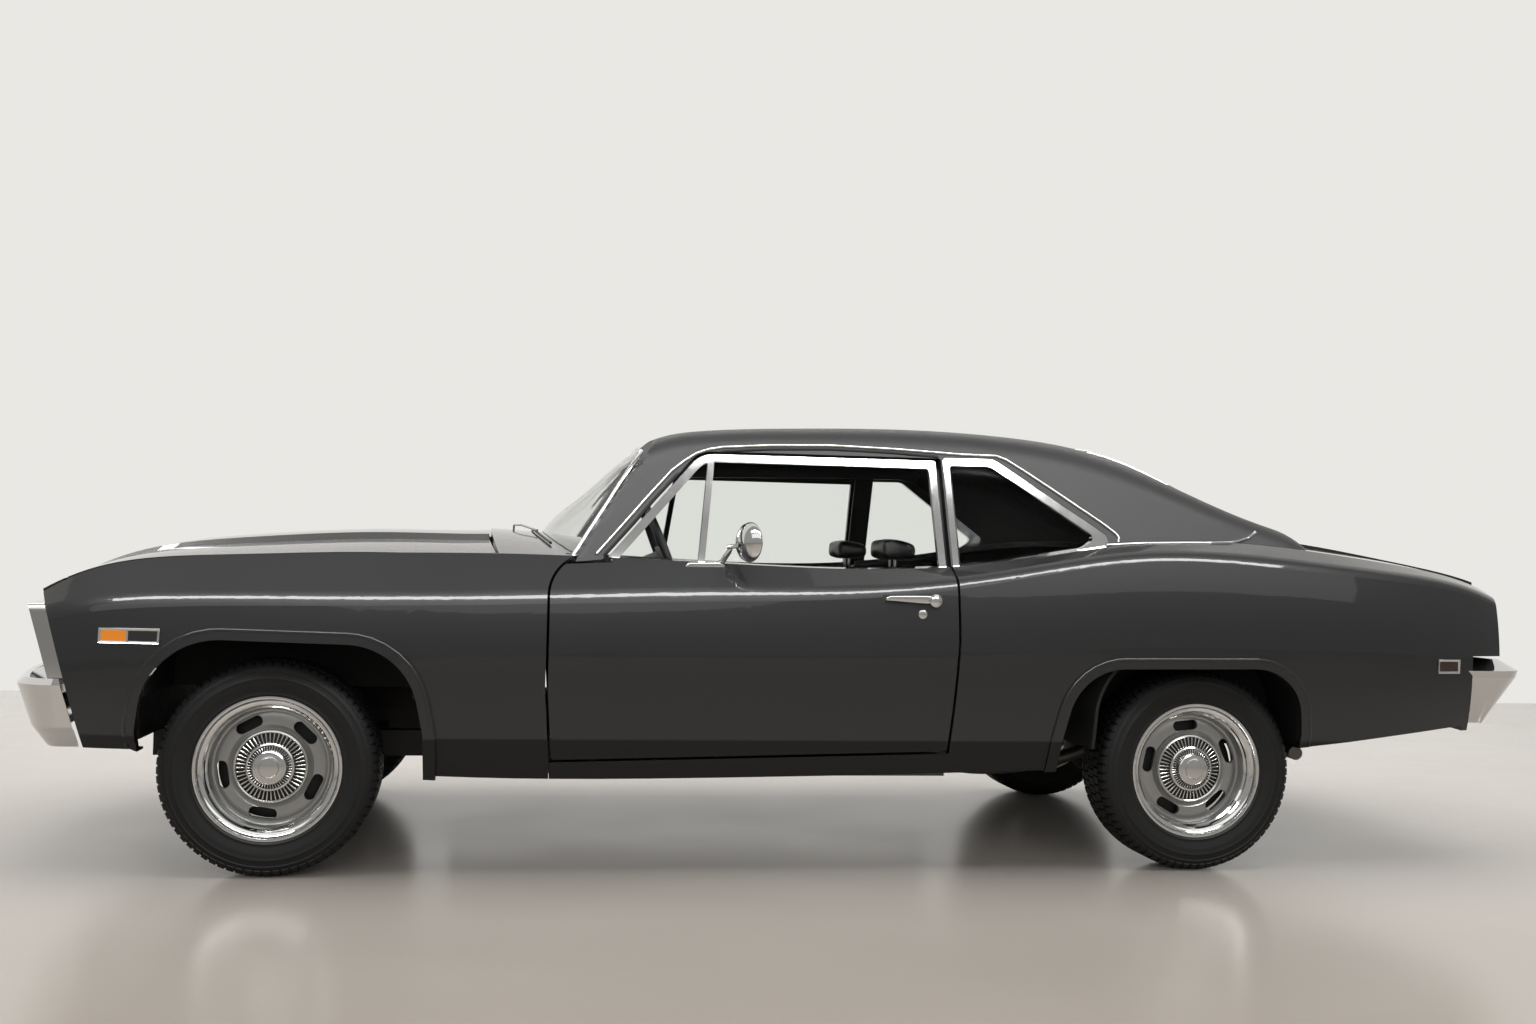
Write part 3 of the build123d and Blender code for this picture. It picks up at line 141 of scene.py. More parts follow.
# hard chrome on steel, polished: mirror bright, faintly hazed by washing
chrome = finish_named("polished_chrome", "#d9d9d8", 0.06, 1.0)
uneven(chrome, 60, 0.04, 0.1)

# brushed stainless: a softer, greyer shine than chrome
satin_alloy = finish_named("brushed_stainless", "#c4c4c2", 0.22, 1.0)

# thin tempered side glass: clear, with hardly any reflection
glass = finish_named("side_glass", "#f7f9f8", 0.0, 0.0, Transmission_Weight=1.0, IOR=1.08)

# moulded tyre rubber: near black, matt and faintly pitted
rubber = finish_named("tyre_rubber", "#0c0c0c", 0.6, 0.0, Specular_IOR_Level=0.35)
grained(rubber, 1.6, 0.25, 0.25)

# silver wheel enamel under a thin clear coat: grey with a metallic sheen
wheel_silver = finish_named("wheel_silver_enamel", "#9b9b99", 0.3, 0.85, Coat_Weight=0.4)

# satin plate on the wheel centres: a soft bright shine
satin_chrome = finish_named("plated_wheel_centre", "#cfcfcd", 0.16, 1.0)

# flat near-black as painted shade: in the gaps between the louvres, and on the brake drum seen through the
# wheel slots
shade_black = finish_named("painted_shade_black_ground", "#0b0b0b", 0.6)

# expanded seat vinyl: black, with a leather grain that breaks up its shine
black_vinyl = finish_named("seat_vinyl", "#151515", 0.42)
grained(black_vinyl, 2.0, 0.3, 0.3, "ShaderNodeTexVoronoi")

# moulded black ABS: satin with a spark-eroded texture
black_plastic = finish_named("moulded_black_abs", "#161616", 0.45)
grained(black_plastic, 1.2, 0.2, 0.2)

# extruded rubber seal: black and dull
black_rubber = finish_named("extruded_rubber", "#0a0a0a", 0.7)
grained(black_rubber, 1.0, 0.15, 0.2)

# cast acrylic lenses: deep colour under a hard gloss
red_lens = finish_named("red_acrylic_lens", "#8d0f10", 0.08, 0.0, Coat_Weight=1.0)
amber_lens = finish_named("amber_acrylic_lens", "#ea8712", 0.12, 0.0, Coat_Weight=0.6)
smoke_lens = finish_named("dark_marker_lens", "#2a1413", 0.1, 0.0, Coat_Weight=1.0)

# back-silvered glass: a cool mirror
mirror_silver = finish_named("silvered_glass", "#c9ced2", 0.02, 1.0)

# pressed lamp glass: upright flutes bend what is seen through it
lamp_glass = finish_named("fluted_lamp_glass", "#f4f6f4", 0.02, 0.0, Transmission_Weight=1.0, IOR=1.45)
flute = node(lamp_glass, "ShaderNodeTexWave", {"Scale": 1000 / 50, "bands_direction": "Y"},
             Vector=here(lamp_glass))
ribs = node(lamp_glass, "ShaderNodeBump", {"Strength": 0.5, "Distance": 0.002}, Height=flute.outputs["Fac"])
join(lamp_glass, ribs.outputs["Normal"], "Normal")

# vacuum-deposited aluminium: a bright, slightly soft mirror
reflector = finish_named("aluminised_reflector", "#e8e8ea", 0.12, 1.0)

# stove enamel on the pressed plate: warm white, hardly glossy
plate_paint = finish_named("pressed_plate_enamel", "#d8d6cf", 0.35)
uneven(plate_paint, 40, 0.3, 0.45)

# brushed chassis paint: black, with patches that have gone dull
chassis_black = finish_named("chassis_black_paint", "#171717", 0.5)
uneven(chassis_black, 25, 0.4, 0.7)

# sprayed underbody coating: black and rough
inner_black = finish_named("sprayed_underbody_black", "#131313", 0.75)
grained(inner_black, 4.0, 0.4, 0.4)

# enamel over cast iron, dark brown as painted shade of the engine bay seen deep in the wheelhouse, with the
# casting's skin showing through
cast_iron = finish_named("engine_enamel_on_iron", "#201c1a", 0.45)
grained(cast_iron, 2.5, 0.4, 0.5)

# mill-finished steel: warm grey, scuffed
bare_steel = finish_named("mill_steel", "#6d6a66", 0.42, 0.9)
uneven(bare_steel, 30, 0.3, 0.6)

FINISH = {
    "paint": paint, "vinyl": vinyl, "chrome": chrome, "glass": glass, "tyre": rubber, "wheel": wheel_silver,
    "seat": black_vinyl, "black_plastic": black_plastic, "red_lens": red_lens, "amber_lens": amber_lens,
    "cast_iron": cast_iron, "bare_metal": bare_steel, "chassis_black": chassis_black,
    "inner_paint": inner_black,
}
slots = {row["node"]: row["material_slot"] for row in frame["record"]["subparts"]}
slots["windshield_frame"] = "vinyl"          # the roof's vinyl runs on down the windshield pillars
for name, piece in frame["nodes"].items():
    piece.data.materials.clear()
    piece.data.materials.append(FINISH[slots[name]])

# ------------------------------------------------------------------ modelling helpers
# sizes are millimetres; profiles are (radius, y), side-view outlines (x, z), lines on the body (x, y, z)
SIDES = (("left", 1), ("right", -1))     # a side's name and its sign on Y
scene_collection = bpy.context.scene.collection


def mm(x, y, z):
    """A place given in millimetres."""
    return Vector((x, y, z)) / 1000


def deselect():
    bpy.ops.object.select_all(action="DESELECT")


def only(obj):
    """Selects one object alone and makes it active."""
    deselect()
    obj.select_set(True)
    bpy.context.view_layer.objects.active = obj


def edit(obj):
    """Opens one object in edit mode with all of it selected."""
    only(obj)
    bpy.ops.object.mode_set(mode="EDIT")
    bpy.ops.mesh.select_all(action="SELECT")


def done():
    bpy.ops.object.mode_set(mode="OBJECT")


def settle(obj):
    """Puts the object's place into its mesh."""
    only(obj)
    bpy.ops.object.transform_apply(location=True, rotation=True, scale=True)
    return obj


def tidy_mesh(obj, gap=0.00002):
    """Merges doubles and turns every face outwards."""
    edit(obj)
    bpy.ops.mesh.remove_doubles(threshold=gap)
    bpy.ops.mesh.normals_make_consistent(inside=False)
    done()
    return obj


def smooth(obj, angle=35):
    """Smooth shading up to that many degrees between faces."""
    only(obj)
    bpy.ops.object.shade_smooth_by_angle(angle=radians(angle))
    return obj


def painted(obj, *mats):
    """Adds the finishes to a piece, in their slots' order."""
    for mat in mats:
        obj.data.materials.append(mat)
    return obj


def apply(obj, name):
    """Makes one modifier part of the mesh."""
    only(obj)
    bpy.ops.object.modifier_apply(modifier=name)


def cut_by(obj, cutter):
    """Takes the cutter's space out of a piece and removes the cutter."""
    cut = obj.modifiers.new("cut", "BOOLEAN")
    cut.object = cutter
    cut.solver = "EXACT"
    apply(obj, "cut")
    bpy.data.objects.remove(cutter)
    return obj


def draw_line(name, points, closed=False):
    """A plane merged to one point and drawn out, point by point, into a line of edges."""
    deselect()
    bpy.ops.mesh.primitive_plane_add(size=0.001, location=(0, 0, 0))
    obj = bpy.context.object
    obj.name = name
    bpy.ops.object.mode_set(mode="EDIT")
    bpy.ops.mesh.select_all(action="SELECT")
    bpy.ops.mesh.merge(type="CENTER")
    bpy.ops.transform.translate(value=points[0])
    for start, end in zip(points, points[1:]):
        step = {"value": Vector(end) - Vector(start)}
        bpy.ops.mesh.extrude_region_move(TRANSFORM_OT_translate=step)
    if closed:
        bpy.ops.mesh.select_all(action="SELECT")
        bpy.ops.object.mode_set(mode="OBJECT")
        last = len(obj.data.vertices) - 1
        for vertex in obj.data.vertices:
            vertex.select = vertex.index in (0, last)
        for edge in obj.data.edges:
            edge.select = False
        bpy.ops.object.mode_set(mode="EDIT")
        bpy.ops.mesh.edge_face_add()
    bpy.ops.mesh.select_all(action="SELECT")
    return obj


def lathe(name, profile, steps, closed=True):
    """A profile of (radius, y) in millimetres spun round the Y axis."""
    obj = draw_line(name, [mm(0, y, r) for r, y in profile], closed)
    bpy.ops.mesh.spin(steps=steps, angle=2 * pi, center=(0, 0, 0), axis=(0, 1, 0))
    done()
    tidy_mesh(obj)
    return obj


def repeat_round(obj, count):
    """Copies what is modelled once round the Y axis."""
    edit(obj)
    bpy.ops.mesh.spin(steps=count, angle=2 * pi, center=(0, 0, 0), axis=(0, 1, 0), dupli=True)
    done()
    return tidy_mesh(obj)


def copied(obj, name, matrix):
    """Another piece with its own mesh, moved by a matrix."""
    twin = obj.copy()
    twin.data = obj.data.copy()
    twin.name = name
    scene_collection.objects.link(twin)
    twin.data.transform(matrix)
    if matrix.determinant() < 0:
        twin.data.flip_normals()
    return twin


def cube(name, low, high, bevel=0.0, segments=2):
    """A box between two corners in millimetres, its edges rounded."""
    deselect()
    low, high = mm(*low), mm(*high)
    bpy.ops.mesh.primitive_cube_add(size=1, location=(low + high) / 2)
    obj = bpy.context.object
    obj.name = name
    obj.scale = high - low
    settle(obj)
    if bevel:
        edit(obj)
        bpy.ops.mesh.bevel(offset=bevel / 1000, segments=segments, affect="EDGES", clamp_overlap=True)
        done()
    return obj


def handed(obj, name, flip):
    """The copy of a left-hand piece for one side: as it is, or mirrored."""
    return copied(obj, name, Matrix.Scale(flip, 4, (0, 1, 0)))


MERGE_GAP = 0.00001                      # doubles of a CAD mesh lie closer than this, in metres


def merged_copy(node_name, name):
    """A CAD node's mesh as a new piece, its doubles merged and its finish taken off."""
    made = copied(frame["nodes"][node_name], name, Matrix())
    made.parent = None
    for key in list(made.keys()):
        del made[key]
    tidy_mesh(made, MERGE_GAP)
    made.data.materials.clear()
    return made


ROD_ROUNDNESS = 3                        # the bevel resolution of every rod


def rod(name, points, radius):
    """A round bar along a line of points in millimetres."""
    curve = bpy.data.curves.new(name, "CURVE")
    curve.dimensions = "3D"
    line = curve.splines.new("POLY")
    line.points.add(len(points) - 1)
    for spot, place in zip(line.points, points):
        spot.co = (*mm(*place), 1)
    curve.bevel_depth = radius / 1000
    curve.bevel_resolution = ROD_ROUNDNESS
    curve.use_fill_caps = True
    obj = bpy.data.objects.new(name, curve)
    scene_collection.objects.link(obj)
    only(obj)
    bpy.ops.object.convert(target="MESH")
    obj = bpy.context.object
    obj.name = name
    return smooth(obj, 50)


OUT_X, OUT_Y, OUT_Z = 4000, 1400, 2000    # where rays start, outside the object


def skin_y(node_name, x, z):
    """Where the CAD node's left side is met at that place, in millimetres."""
    start = mm(x, OUT_Y, z)
    met, place, _, _ = frame["nodes"][node_name].ray_cast(start, Vector((0, -1, 0)))
    return place.y * 1000 if met else None


def skin_z(node_name, x, y):
    """Where the CAD node's top is met at that place, in millimetres."""
    met, place, _, _ = frame["nodes"][node_name].ray_cast(mm(x, y, OUT_Z), Vector((0, 0, -1)))
    return place.z * 1000 if met else None


def skin_x(node_name, y, z, facing):
    """Where the CAD node's front (facing 1) or back (facing -1) is met, in millimetres."""
    start = mm(OUT_X * facing, y, z)
    met, place, _, _ = frame["nodes"][node_name].ray_cast(start, Vector((-facing, 0, 0)))
    return place.x * 1000 if met else None


def top_of(nodes, x, y):
    """The highest of these nodes at that place, in millimetres."""
    found = [skin_z(name, x, y) for name in nodes]
    found = [z for z in found if z is not None]
    return max(found) if found else None


def side_of(nodes, x, z, otherwise):
    """The outermost of these nodes on the left at that place, in millimetres."""
    found = [skin_y(name, x, z) for name in nodes]
    found = [y for y in found if y is not None]
    return max(found) if found else otherwise


def both_ways(points):
    """A left-hand line carried on over the middle to the right-hand side."""
    far = [(x, -y, z) for x, y, z in reversed(points)]
    return points + (far[1:] if points[-1][1] == 0 else far)


def fill_and_draw(step):
    """Fills the open outline and draws it out into a closed block, still in edit mode."""
    bpy.ops.mesh.edge_face_add()
    bpy.ops.mesh.extrude_region_move(TRANSFORM_OT_translate={"value": step})
    bpy.ops.mesh.select_all(action="SELECT")
    bpy.ops.mesh.normals_make_consistent(inside=False)


def slab(name, outline, y_from, y_to, bevel=0.0, segments=2):
    """A side-view outline (x, z) in millimetres drawn across from y to y."""
    obj = draw_line(name, [mm(x, y_from, z) for x, z in outline], True)
    fill_and_draw(mm(0, y_to - y_from, 0))
    if bevel:
        bpy.ops.mesh.bevel(offset=bevel / 1000, segments=segments, affect="EDGES", clamp_overlap=True)
    done()
    return obj


REACH_X, REACH_Z = 40, 15                # how far the slope of a panel is read to each side


def on_side(obj, node_name, x_mid, z_mid, lift):
    """Lays a piece modelled flat at y 0 on the curved side of a left-hand panel."""
    here_y = skin_y(node_name, x_mid, z_mid)
    ahead_y, behind_y = (skin_y(node_name, x_mid + step, z_mid) for step in (REACH_X, -REACH_X))
    above_y, below_y = (skin_y(node_name, x_mid, z_mid + step) for step in (REACH_Z, -REACH_Z))
    slope_x = (ahead_y - behind_y) / (2 * REACH_X)
    slope_z = (above_y - below_y) / (2 * REACH_Z)
    for vertex in obj.data.vertices:
        vertex.co.y += (here_y + lift) / 1000 + slope_x * (vertex.co.x - x_mid / 1000)
        vertex.co.y += slope_z * (vertex.co.z - z_mid / 1000)
    return obj


def frame_ring(name, x0, x1, z0, z1, wide, thick):
    """A rectangular bezel with its window sunk into it."""
    obj = cube(name, (x0, -2, z0), (x1, thick, z1), 1.2)
    edit(obj)
    bpy.ops.mesh.select_all(action="DESELECT")
    done()
    for face in obj.data.polygons:
        face.select = face.normal.y > 0.99
    bpy.ops.object.mode_set(mode="EDIT")
    bpy.ops.mesh.inset(thickness=wide / 1000)
    bpy.ops.transform.translate(value=(0, -(thick - 2) / 1000, 0))
    done()
    return smooth(obj, 30)


def loose_parts(obj):
    """Splits a mesh into its separate solids."""
    edit(obj)
    bpy.ops.mesh.separate(type="LOOSE")
    done()
    return list(bpy.context.selected_objects)


def chrome_rod(name, points, radius, mat=chrome):
    """A round bright rod along a line of points in millimetres."""
    return painted(rod(name, points, radius), mat)


# ------------------------------------------------------------------ tyres and wheels
FRONT_X, REAR_X, WHEEL_Y, AXLE_Z = 1575.5, -1243.5, 749.5, 313.0
SIDEWALL = [(209, 84), (211, 95), (216, 99), (221, 98), (226, 99), (240, 104), (250, 106), (258, 106),
            (260, 107), (262, 107), (264, 105.6), (278, 104), (280, 105), (282, 104), (290, 100), (296, 97),
            (303, 88), (305, 82), (306, 60)]
TYRE_LINING = [(290, 60), (290, 80), (235, 80), (214, 66)]
TREAD_COUNT = 72
SHOULDER_BLOCK = [(304, 64), (312.6, 64), (311, 80), (304, 93), (293, 101), (290, 99), (300, 88), (303, 80)]
RIB_BLOCKS = [((-56, -24), 0.0), ((-20, 20), 0.5), ((24, 56), 0.2)]     # from and to y, share of a pitch
SHOULDERS = [(1, 0.6), (-1, 0.0)]        # side on Y, share of a pitch
RIB_FOOT_R, RIB_TOP_R = 303, 312.8
SHOULDER_FILL, RIB_FILL = 0.72, 0.8      # a block's share of the tread's pitch
TYRE_STEPS, RIM_STEPS, CENTRE_STEPS, DRUM_STEPS = 96, 120, 96, 64


def tyre():
    """A radial tyre about Y: ribbed sidewalls, shoulder blocks and three tread ribs."""
    outside = SIDEWALL + [(r, -y) for r, y in reversed(SIDEWALL)]
    inside = [(r, -y) for r, y in reversed(TYRE_LINING)] + TYRE_LINING
    body = lathe("tyre", outside + inside, TYRE_STEPS)
    blocks = []
    for sign, phase in SHOULDERS:
        shape = [(r, y * sign) for r, y in SHOULDER_BLOCK]
        blocks.append(tread_block(shape, SHOULDER_FILL, phase))
    for (near, far), phase in RIB_BLOCKS:
        shape = [(RIB_FOOT_R, near), (RIB_TOP_R, near), (RIB_TOP_R, far), (RIB_FOOT_R, far)]
        blocks.append(tread_block(shape, RIB_FILL, phase))
    deselect()
    for block in blocks:
        block.select_set(True)
    body.select_set(True)
    bpy.context.view_layer.objects.active = body
    bpy.ops.object.join()
    return smooth(body, 30)


def tread_block(shape, fill, phase):
    """One block, as wide as fill of the tread's pitch, repeated round the tyre."""
    pitch = 2 * pi / TREAD_COUNT
    obj = draw_line("tread", [mm(0, y, r) for r, y in shape], True)
    bpy.ops.mesh.edge_face_add()
    bpy.ops.mesh.spin(steps=1, angle=pitch * fill, center=(0, 0, 0), axis=(0, 1, 0))
    bpy.ops.mesh.select_all(action="SELECT")
    bpy.ops.mesh.normals_make_consistent(inside=False)
    done()
    obj.data.transform(Matrix.Rotation(pitch * phase, 4, "Y"))
    return repeat_round(obj, TREAD_COUNT)


RIM = [(210, -92), (210, -66), (196, -62), (186, -40), (178, -20), (178, 40), (192, 62), (210, 70),
       (210, 92), (203, 92), (203, 76), (184, 66), (172, 52), (169, 40), (166, 34), (160, 33), (150, 37),
       (136, 40), (122, 38), (112, 30), (104, 26), (60, 26), (60, 14), (102, 14), (116, 26), (150, 24),
       (170, 16), (170, -22), (178, -44), (189, -68), (203, -74), (203, -92)]
TRIM_RING = [(210.4, 92.5), (210.6, 94), (209, 96), (205, 97), (201, 96), (198, 92), (196, 84), (190, 79),
             (185, 77.5), (181, 73), (179, 66), (174, 61), (173, 57), (175, 56), (184, 66), (202.5, 77.5),
             (202.5, 92.5)]
CENTRE = [(0, 83), (24, 83), (27, 82), (29, 79), (31, 79), (33, 78), (45, 75.5), (48, 73), (49.5, 62),
          (50, 57), (62, 54), (63, 58), (66, 58), (69, 56), (71, 52), (71.5, 42), (98, 38), (99, 45),
          (102, 47), (105, 45.5), (107.5, 40), (107.5, 27), (60, 27), (0, 27)]
DRUM = [(22, 4), (146, 4), (154, 1), (154, -4), (136, -6), (136, -20), (22, -20)]
SLOT_COUNT, SLOT_AT, SLOT_HALF, SLOT_R, SLOT_DEPTH = 5, 136, 24.5, 16, 90
SLOT_Y = 30                              # the slot cutter's middle on the axle
LOUVRE_COUNT, LOUVRE_ROUND = 48, 0.6
LOUVRE_DEEP, LOUVRE_PROUD, LOUVRE_DROP = 7, 1, 4         # under and over its height, and its fall outwards
LOUVRE_NARROW, LOUVRE_SPREAD = 0.75, 0.5                 # its thickness at the hub, and what it gains
OUTER_LOUVRES, INNER_LOUVRES = (71, 98.4, 46, 3.6), (50, 62.2, 58, 2.2)     # radii, height, thickness
WELLS = [((71.4, 98.5), (36, 46)), ((50.2, 61.8), (50, 83))]     # radii and y of the grounds painted black as shade between the louvres
SLOT_ROLL = {"front_left": 10, "rear_left": -12, "front_right": 20, "rear_right": 48}


def slotted_rim():
    """Rim and dished disc in one, with five stadium slots cut through the disc."""
    rim = lathe("rim", RIM, RIM_STEPS)
    deselect()
    bpy.ops.mesh.primitive_cylinder_add(vertices=24, radius=SLOT_R / 1000, depth=SLOT_DEPTH / 1000,
                                        rotation=(pi / 2, 0, 0), location=mm(SLOT_AT, SLOT_Y, 0))
    cutter = settle(bpy.context.object)
    for vertex in cutter.data.vertices:
        vertex.co.z += SLOT_HALF / 1000 * (1 if vertex.co.z > 0 else -1)
    repeat_round(cutter, SLOT_COUNT)
    return smooth(cut_by(rim, cutter), 30)


def louvre_ring(name, inner, outer, height, thick):
    """Thin radial blades between two radii, modelled once and repeated round the hub."""
    low = (inner, height - LOUVRE_DEEP, -thick / 2)
    high = (outer, height + LOUVRE_PROUD, thick / 2)
    blade = cube(name, low, high, LOUVRE_ROUND, 1)
    for vertex in blade.data.vertices:
        share = (vertex.co.x * 1000 - inner) / (outer - inner)
        vertex.co.z *= LOUVRE_NARROW + LOUVRE_SPREAD * share
        vertex.co.y -= share * LOUVRE_DROP / 1000
    return repeat_round(blade, LOUVRE_COUNT)


def wheel_centre():
    """Stepped hub and cap, with painted shade on the grounds that the louvres stand on."""
    centre = smooth(lathe("centre", CENTRE, CENTRE_STEPS, closed=False), 25)
    painted(centre, satin_chrome, shade_black)
    for face in centre.data.polygons:
        spot = face.center * 1000
        reach = (spot.x ** 2 + spot.z ** 2) ** 0.5
        for (inner, outer), (low, high) in WELLS:
            if inner < reach < outer and low < spot.y < high:
                face.material_index = 1
    return centre


def wheel_set():
    """Every piece of one wheel about Y, outboard +Y, as (name, object)."""
    trim_ring = smooth(lathe("trim_ring", TRIM_RING, RIM_STEPS), 25)
    # the brake drum is a real part, but its flat black is painted shade seen through the slots
    drum = smooth(lathe("brake_drum", DRUM, DRUM_STEPS), 30)
    return [
        ("tyre", painted(tyre(), rubber)),
        ("rim", painted(slotted_rim(), wheel_silver)),
        ("trim_ring", painted(trim_ring, chrome)),
        ("centre", wheel_centre()),
        ("louvres", painted(louvre_ring("louvres", *OUTER_LOUVRES), satin_chrome)),
        ("brake_drum", painted(drum, shade_black)),
        ("inner_louvres", painted(louvre_ring("inner_louvres", *INNER_LOUVRES), satin_chrome)),
    ]


def build_wheels():
    """The four wheels, copied from one set and rolled to their own angles."""
    parts = wheel_set()
    places = {"front_left": (FRONT_X, 1), "front_right": (FRONT_X, -1),
              "rear_left": (REAR_X, 1), "rear_right": (REAR_X, -1)}
    for corner, (axle, side) in places.items():
        turn = Matrix.Rotation(0 if side > 0 else pi, 4, "Z")
        roll = Matrix.Rotation(radians(SLOT_ROLL[corner]), 4, "Y")
        place = Matrix.Translation(mm(axle, side * WHEEL_Y, AXLE_Z)) @ turn @ roll
        for name, obj in parts:
            made = copied(obj, f"{name}_{corner}", place)
            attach(made, f"wheel_{corner}")
            if name == "tyre":
                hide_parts(f"tyre_{corner}")
            if name == "rim":
                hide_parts(f"wheel_{corner}")
    for _, obj in parts:
        bpy.data.objects.remove(obj)


build_wheels()

# ------------------------------------------------------------------ windshield and bright mouldings
SCREEN_SIDE = [(716, 748, 944), (698, 736, 970), (672, 717, 1014), (643, 695, 1060), (612, 672, 1109),
               (581, 649, 1161), (549, 625, 1211), (531, 602, 1240)]
SCREEN_CORNER = [(589, 1256), (577, 1270), (556, 1280)]      # y and z round the upper corner
SCREEN_TOP_Z, SCREEN_TOP_DROP, SCREEN_TOP_HALF = 1312.0, 36.0, 560.0
SCREEN_TOP_Y, MOULD_OVER = (500, 400, 280, 140, 0), 4        # the moulding's y places and its rise
DRIP_RAIL = [(646, 778, 953), (549, 721, 1065), (484, 683, 1141), (416, 643, 1217), (374, 625, 1251),
             (336, 612, 1276), (300, 604, 1289), (255, 598, 1298), (100, 593, 1309), (-94, 592, 1315),
             (-300, 594, 1310), (-527, 600, 1299), (-640, 605, 1298), (-672, 612, 1287), (-720, 626, 1257),
             (-800, 656, 1203), (-900, 690, 1134), (-975, 716, 1082), (-1010, 735, 1053), (-1020, 745, 1038),
             (-1014, 750, 1026)]
VINYL_EDGE = [(-962, 1016), (-1080, 1024), (-1206, 1028), (-1300, 1030), (-1375, 1032), (-1420, 1038),
              (-1460, 1050), (-1490, 1068)]                  # x and z along the side
VINYL_END = [(-1520, 600), (-1560, 540), (-1586, 420), (-1598, 250), (-1602, 0)]   # x and y on the deck
REAR_GLASS_EDGE = [(-1483, 540), (-1447, 562), (-1409, 562), (-1358, 556), (-1297, 548), (-1247, 543),
                   (-1176, 535), (-1113, 527), (-1050, 516), (-1005, 500), (-984, 470), (-976, 380),
                   (-968, 200), (-962, 0)]
REAR_GLASS_FOOT = [(-1532, 0, 1106), (-1526, 200, 1104), (-1512, 400, 1098)]
MOULD_R, RAIL_R, REAR_R, LIFT = 8, 5, 7, 1                   # rod radii, and how far a rod stands off
SIDE_Y, DECK_Z, GLASS_Z = 780, 1090, 1100                    # places where a ray misses the panels


def screen_edge_z(y):
    """Height of the windshield opening's upper edge at that width, in millimetres."""
    return SCREEN_TOP_Z - SCREEN_TOP_DROP * (y / SCREEN_TOP_HALF) ** 2


SCREEN_FOOT_Z, SCREEN_RISE, SCREEN_HALF = 930, 490, 800      # heights and half width of the bowed surface
SCREEN_MIDDLE_X, SCREEN_MIDDLE_RUN = 905, 458                # its foot and its lean back, on the middle line
SCREEN_SIDE_X, SCREEN_SIDE_RUN = 700, 390                    # the same at its side


def screen_x(y, z):
    """The windshield's outer surface at that place, in millimetres."""
    found = [skin_x("windshield_frame", y, z, 1), skin_x("windshield", y, z, 1)]
    found = [x for x in found if x is not None]
    share = (z - SCREEN_FOOT_Z) / SCREEN_RISE
    middle = SCREEN_MIDDLE_X - SCREEN_MIDDLE_RUN * share
    bow = middle - (SCREEN_SIDE_X - SCREEN_SIDE_RUN * share)
    radius = (SCREEN_HALF ** 2 + bow ** 2) / (2 * bow)
    bowed = middle - radius + (radius ** 2 - y ** 2) ** 0.5
    return min(max(found), bowed) if found else bowed


OPENING_TOP_Y = (545, 500, 420, 300, 150, 0, -150, -300, -420, -500, -545)
OPENING_SIDE = [(746, 925), (590, 1240), (581, 1256), (566, 1267)]      # y and z up the left side
CUT_FROM_X, CUT_LENGTH = 440, 700
PANE_T, PANE_SUNK, PANE_OVERLAP = 5, 6, 8
FIT_ROUNDS = 4                           # the pane's width and height depend on each other
PANE_HALF, PANE_FOOT_Z, PANE_FOOT_DROP, PANE_FOOT_HALF = 650, 1014, 82, 720
PANE_SIDE_Y, PANE_SIDE_Z, PANE_SIDE_LEAN = 748, 940, 0.494   # its side edge leans in as it rises


def opened_surround():
    """The windshield's frame with the opening cut through it."""
    upper = [(y, screen_edge_z(y)) for y in OPENING_TOP_Y]
    right_side = [(-y, z) for y, z in reversed(OPENING_SIDE)]
    outline = [mm(CUT_FROM_X, y, z) for y, z in OPENING_SIDE + upper + right_side]
    cutter = draw_line("screen_cutter", outline, True)
    fill_and_draw(mm(CUT_LENGTH, 0, 0))
    done()
    surround = cut_by(merged_copy("windshield_frame", "windshield_surround"), cutter)
    surround.data.materials.clear()
    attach(painted(smooth(surround, 30), vinyl), "body")
    return surround


def bowed_pane():
    """A bowed sheet of glass behind the opening's edge."""
    deselect()
    bpy.ops.mesh.primitive_grid_add(x_subdivisions=48, y_subdivisions=18, size=2, location=(0, 0, 0))
    pane = settle(bpy.context.object)
    pane.name = "windshield_pane"
    for vertex in pane.data.vertices:
        across, up_share = vertex.co.x, (vertex.co.y + 1) / 2
        y = across * PANE_HALF
        for _ in range(FIT_ROUNDS):
            low = PANE_FOOT_Z - PANE_FOOT_DROP * (y / PANE_FOOT_HALF) ** 2
            z = low + (screen_edge_z(y) + PANE_OVERLAP - low) * up_share
            y = across * (PANE_SIDE_Y - PANE_SIDE_LEAN * (z - PANE_SIDE_Z))
        vertex.co = mm(screen_x(y, z) - PANE_SUNK, y, z)
    thick = pane.modifiers.new("thick", "SOLIDIFY")
    thick.thickness = PANE_T / 1000
    thick.offset = 0
    apply(pane, "thick")
    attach(painted(smooth(pane, 40), glass), "body")
    return pane


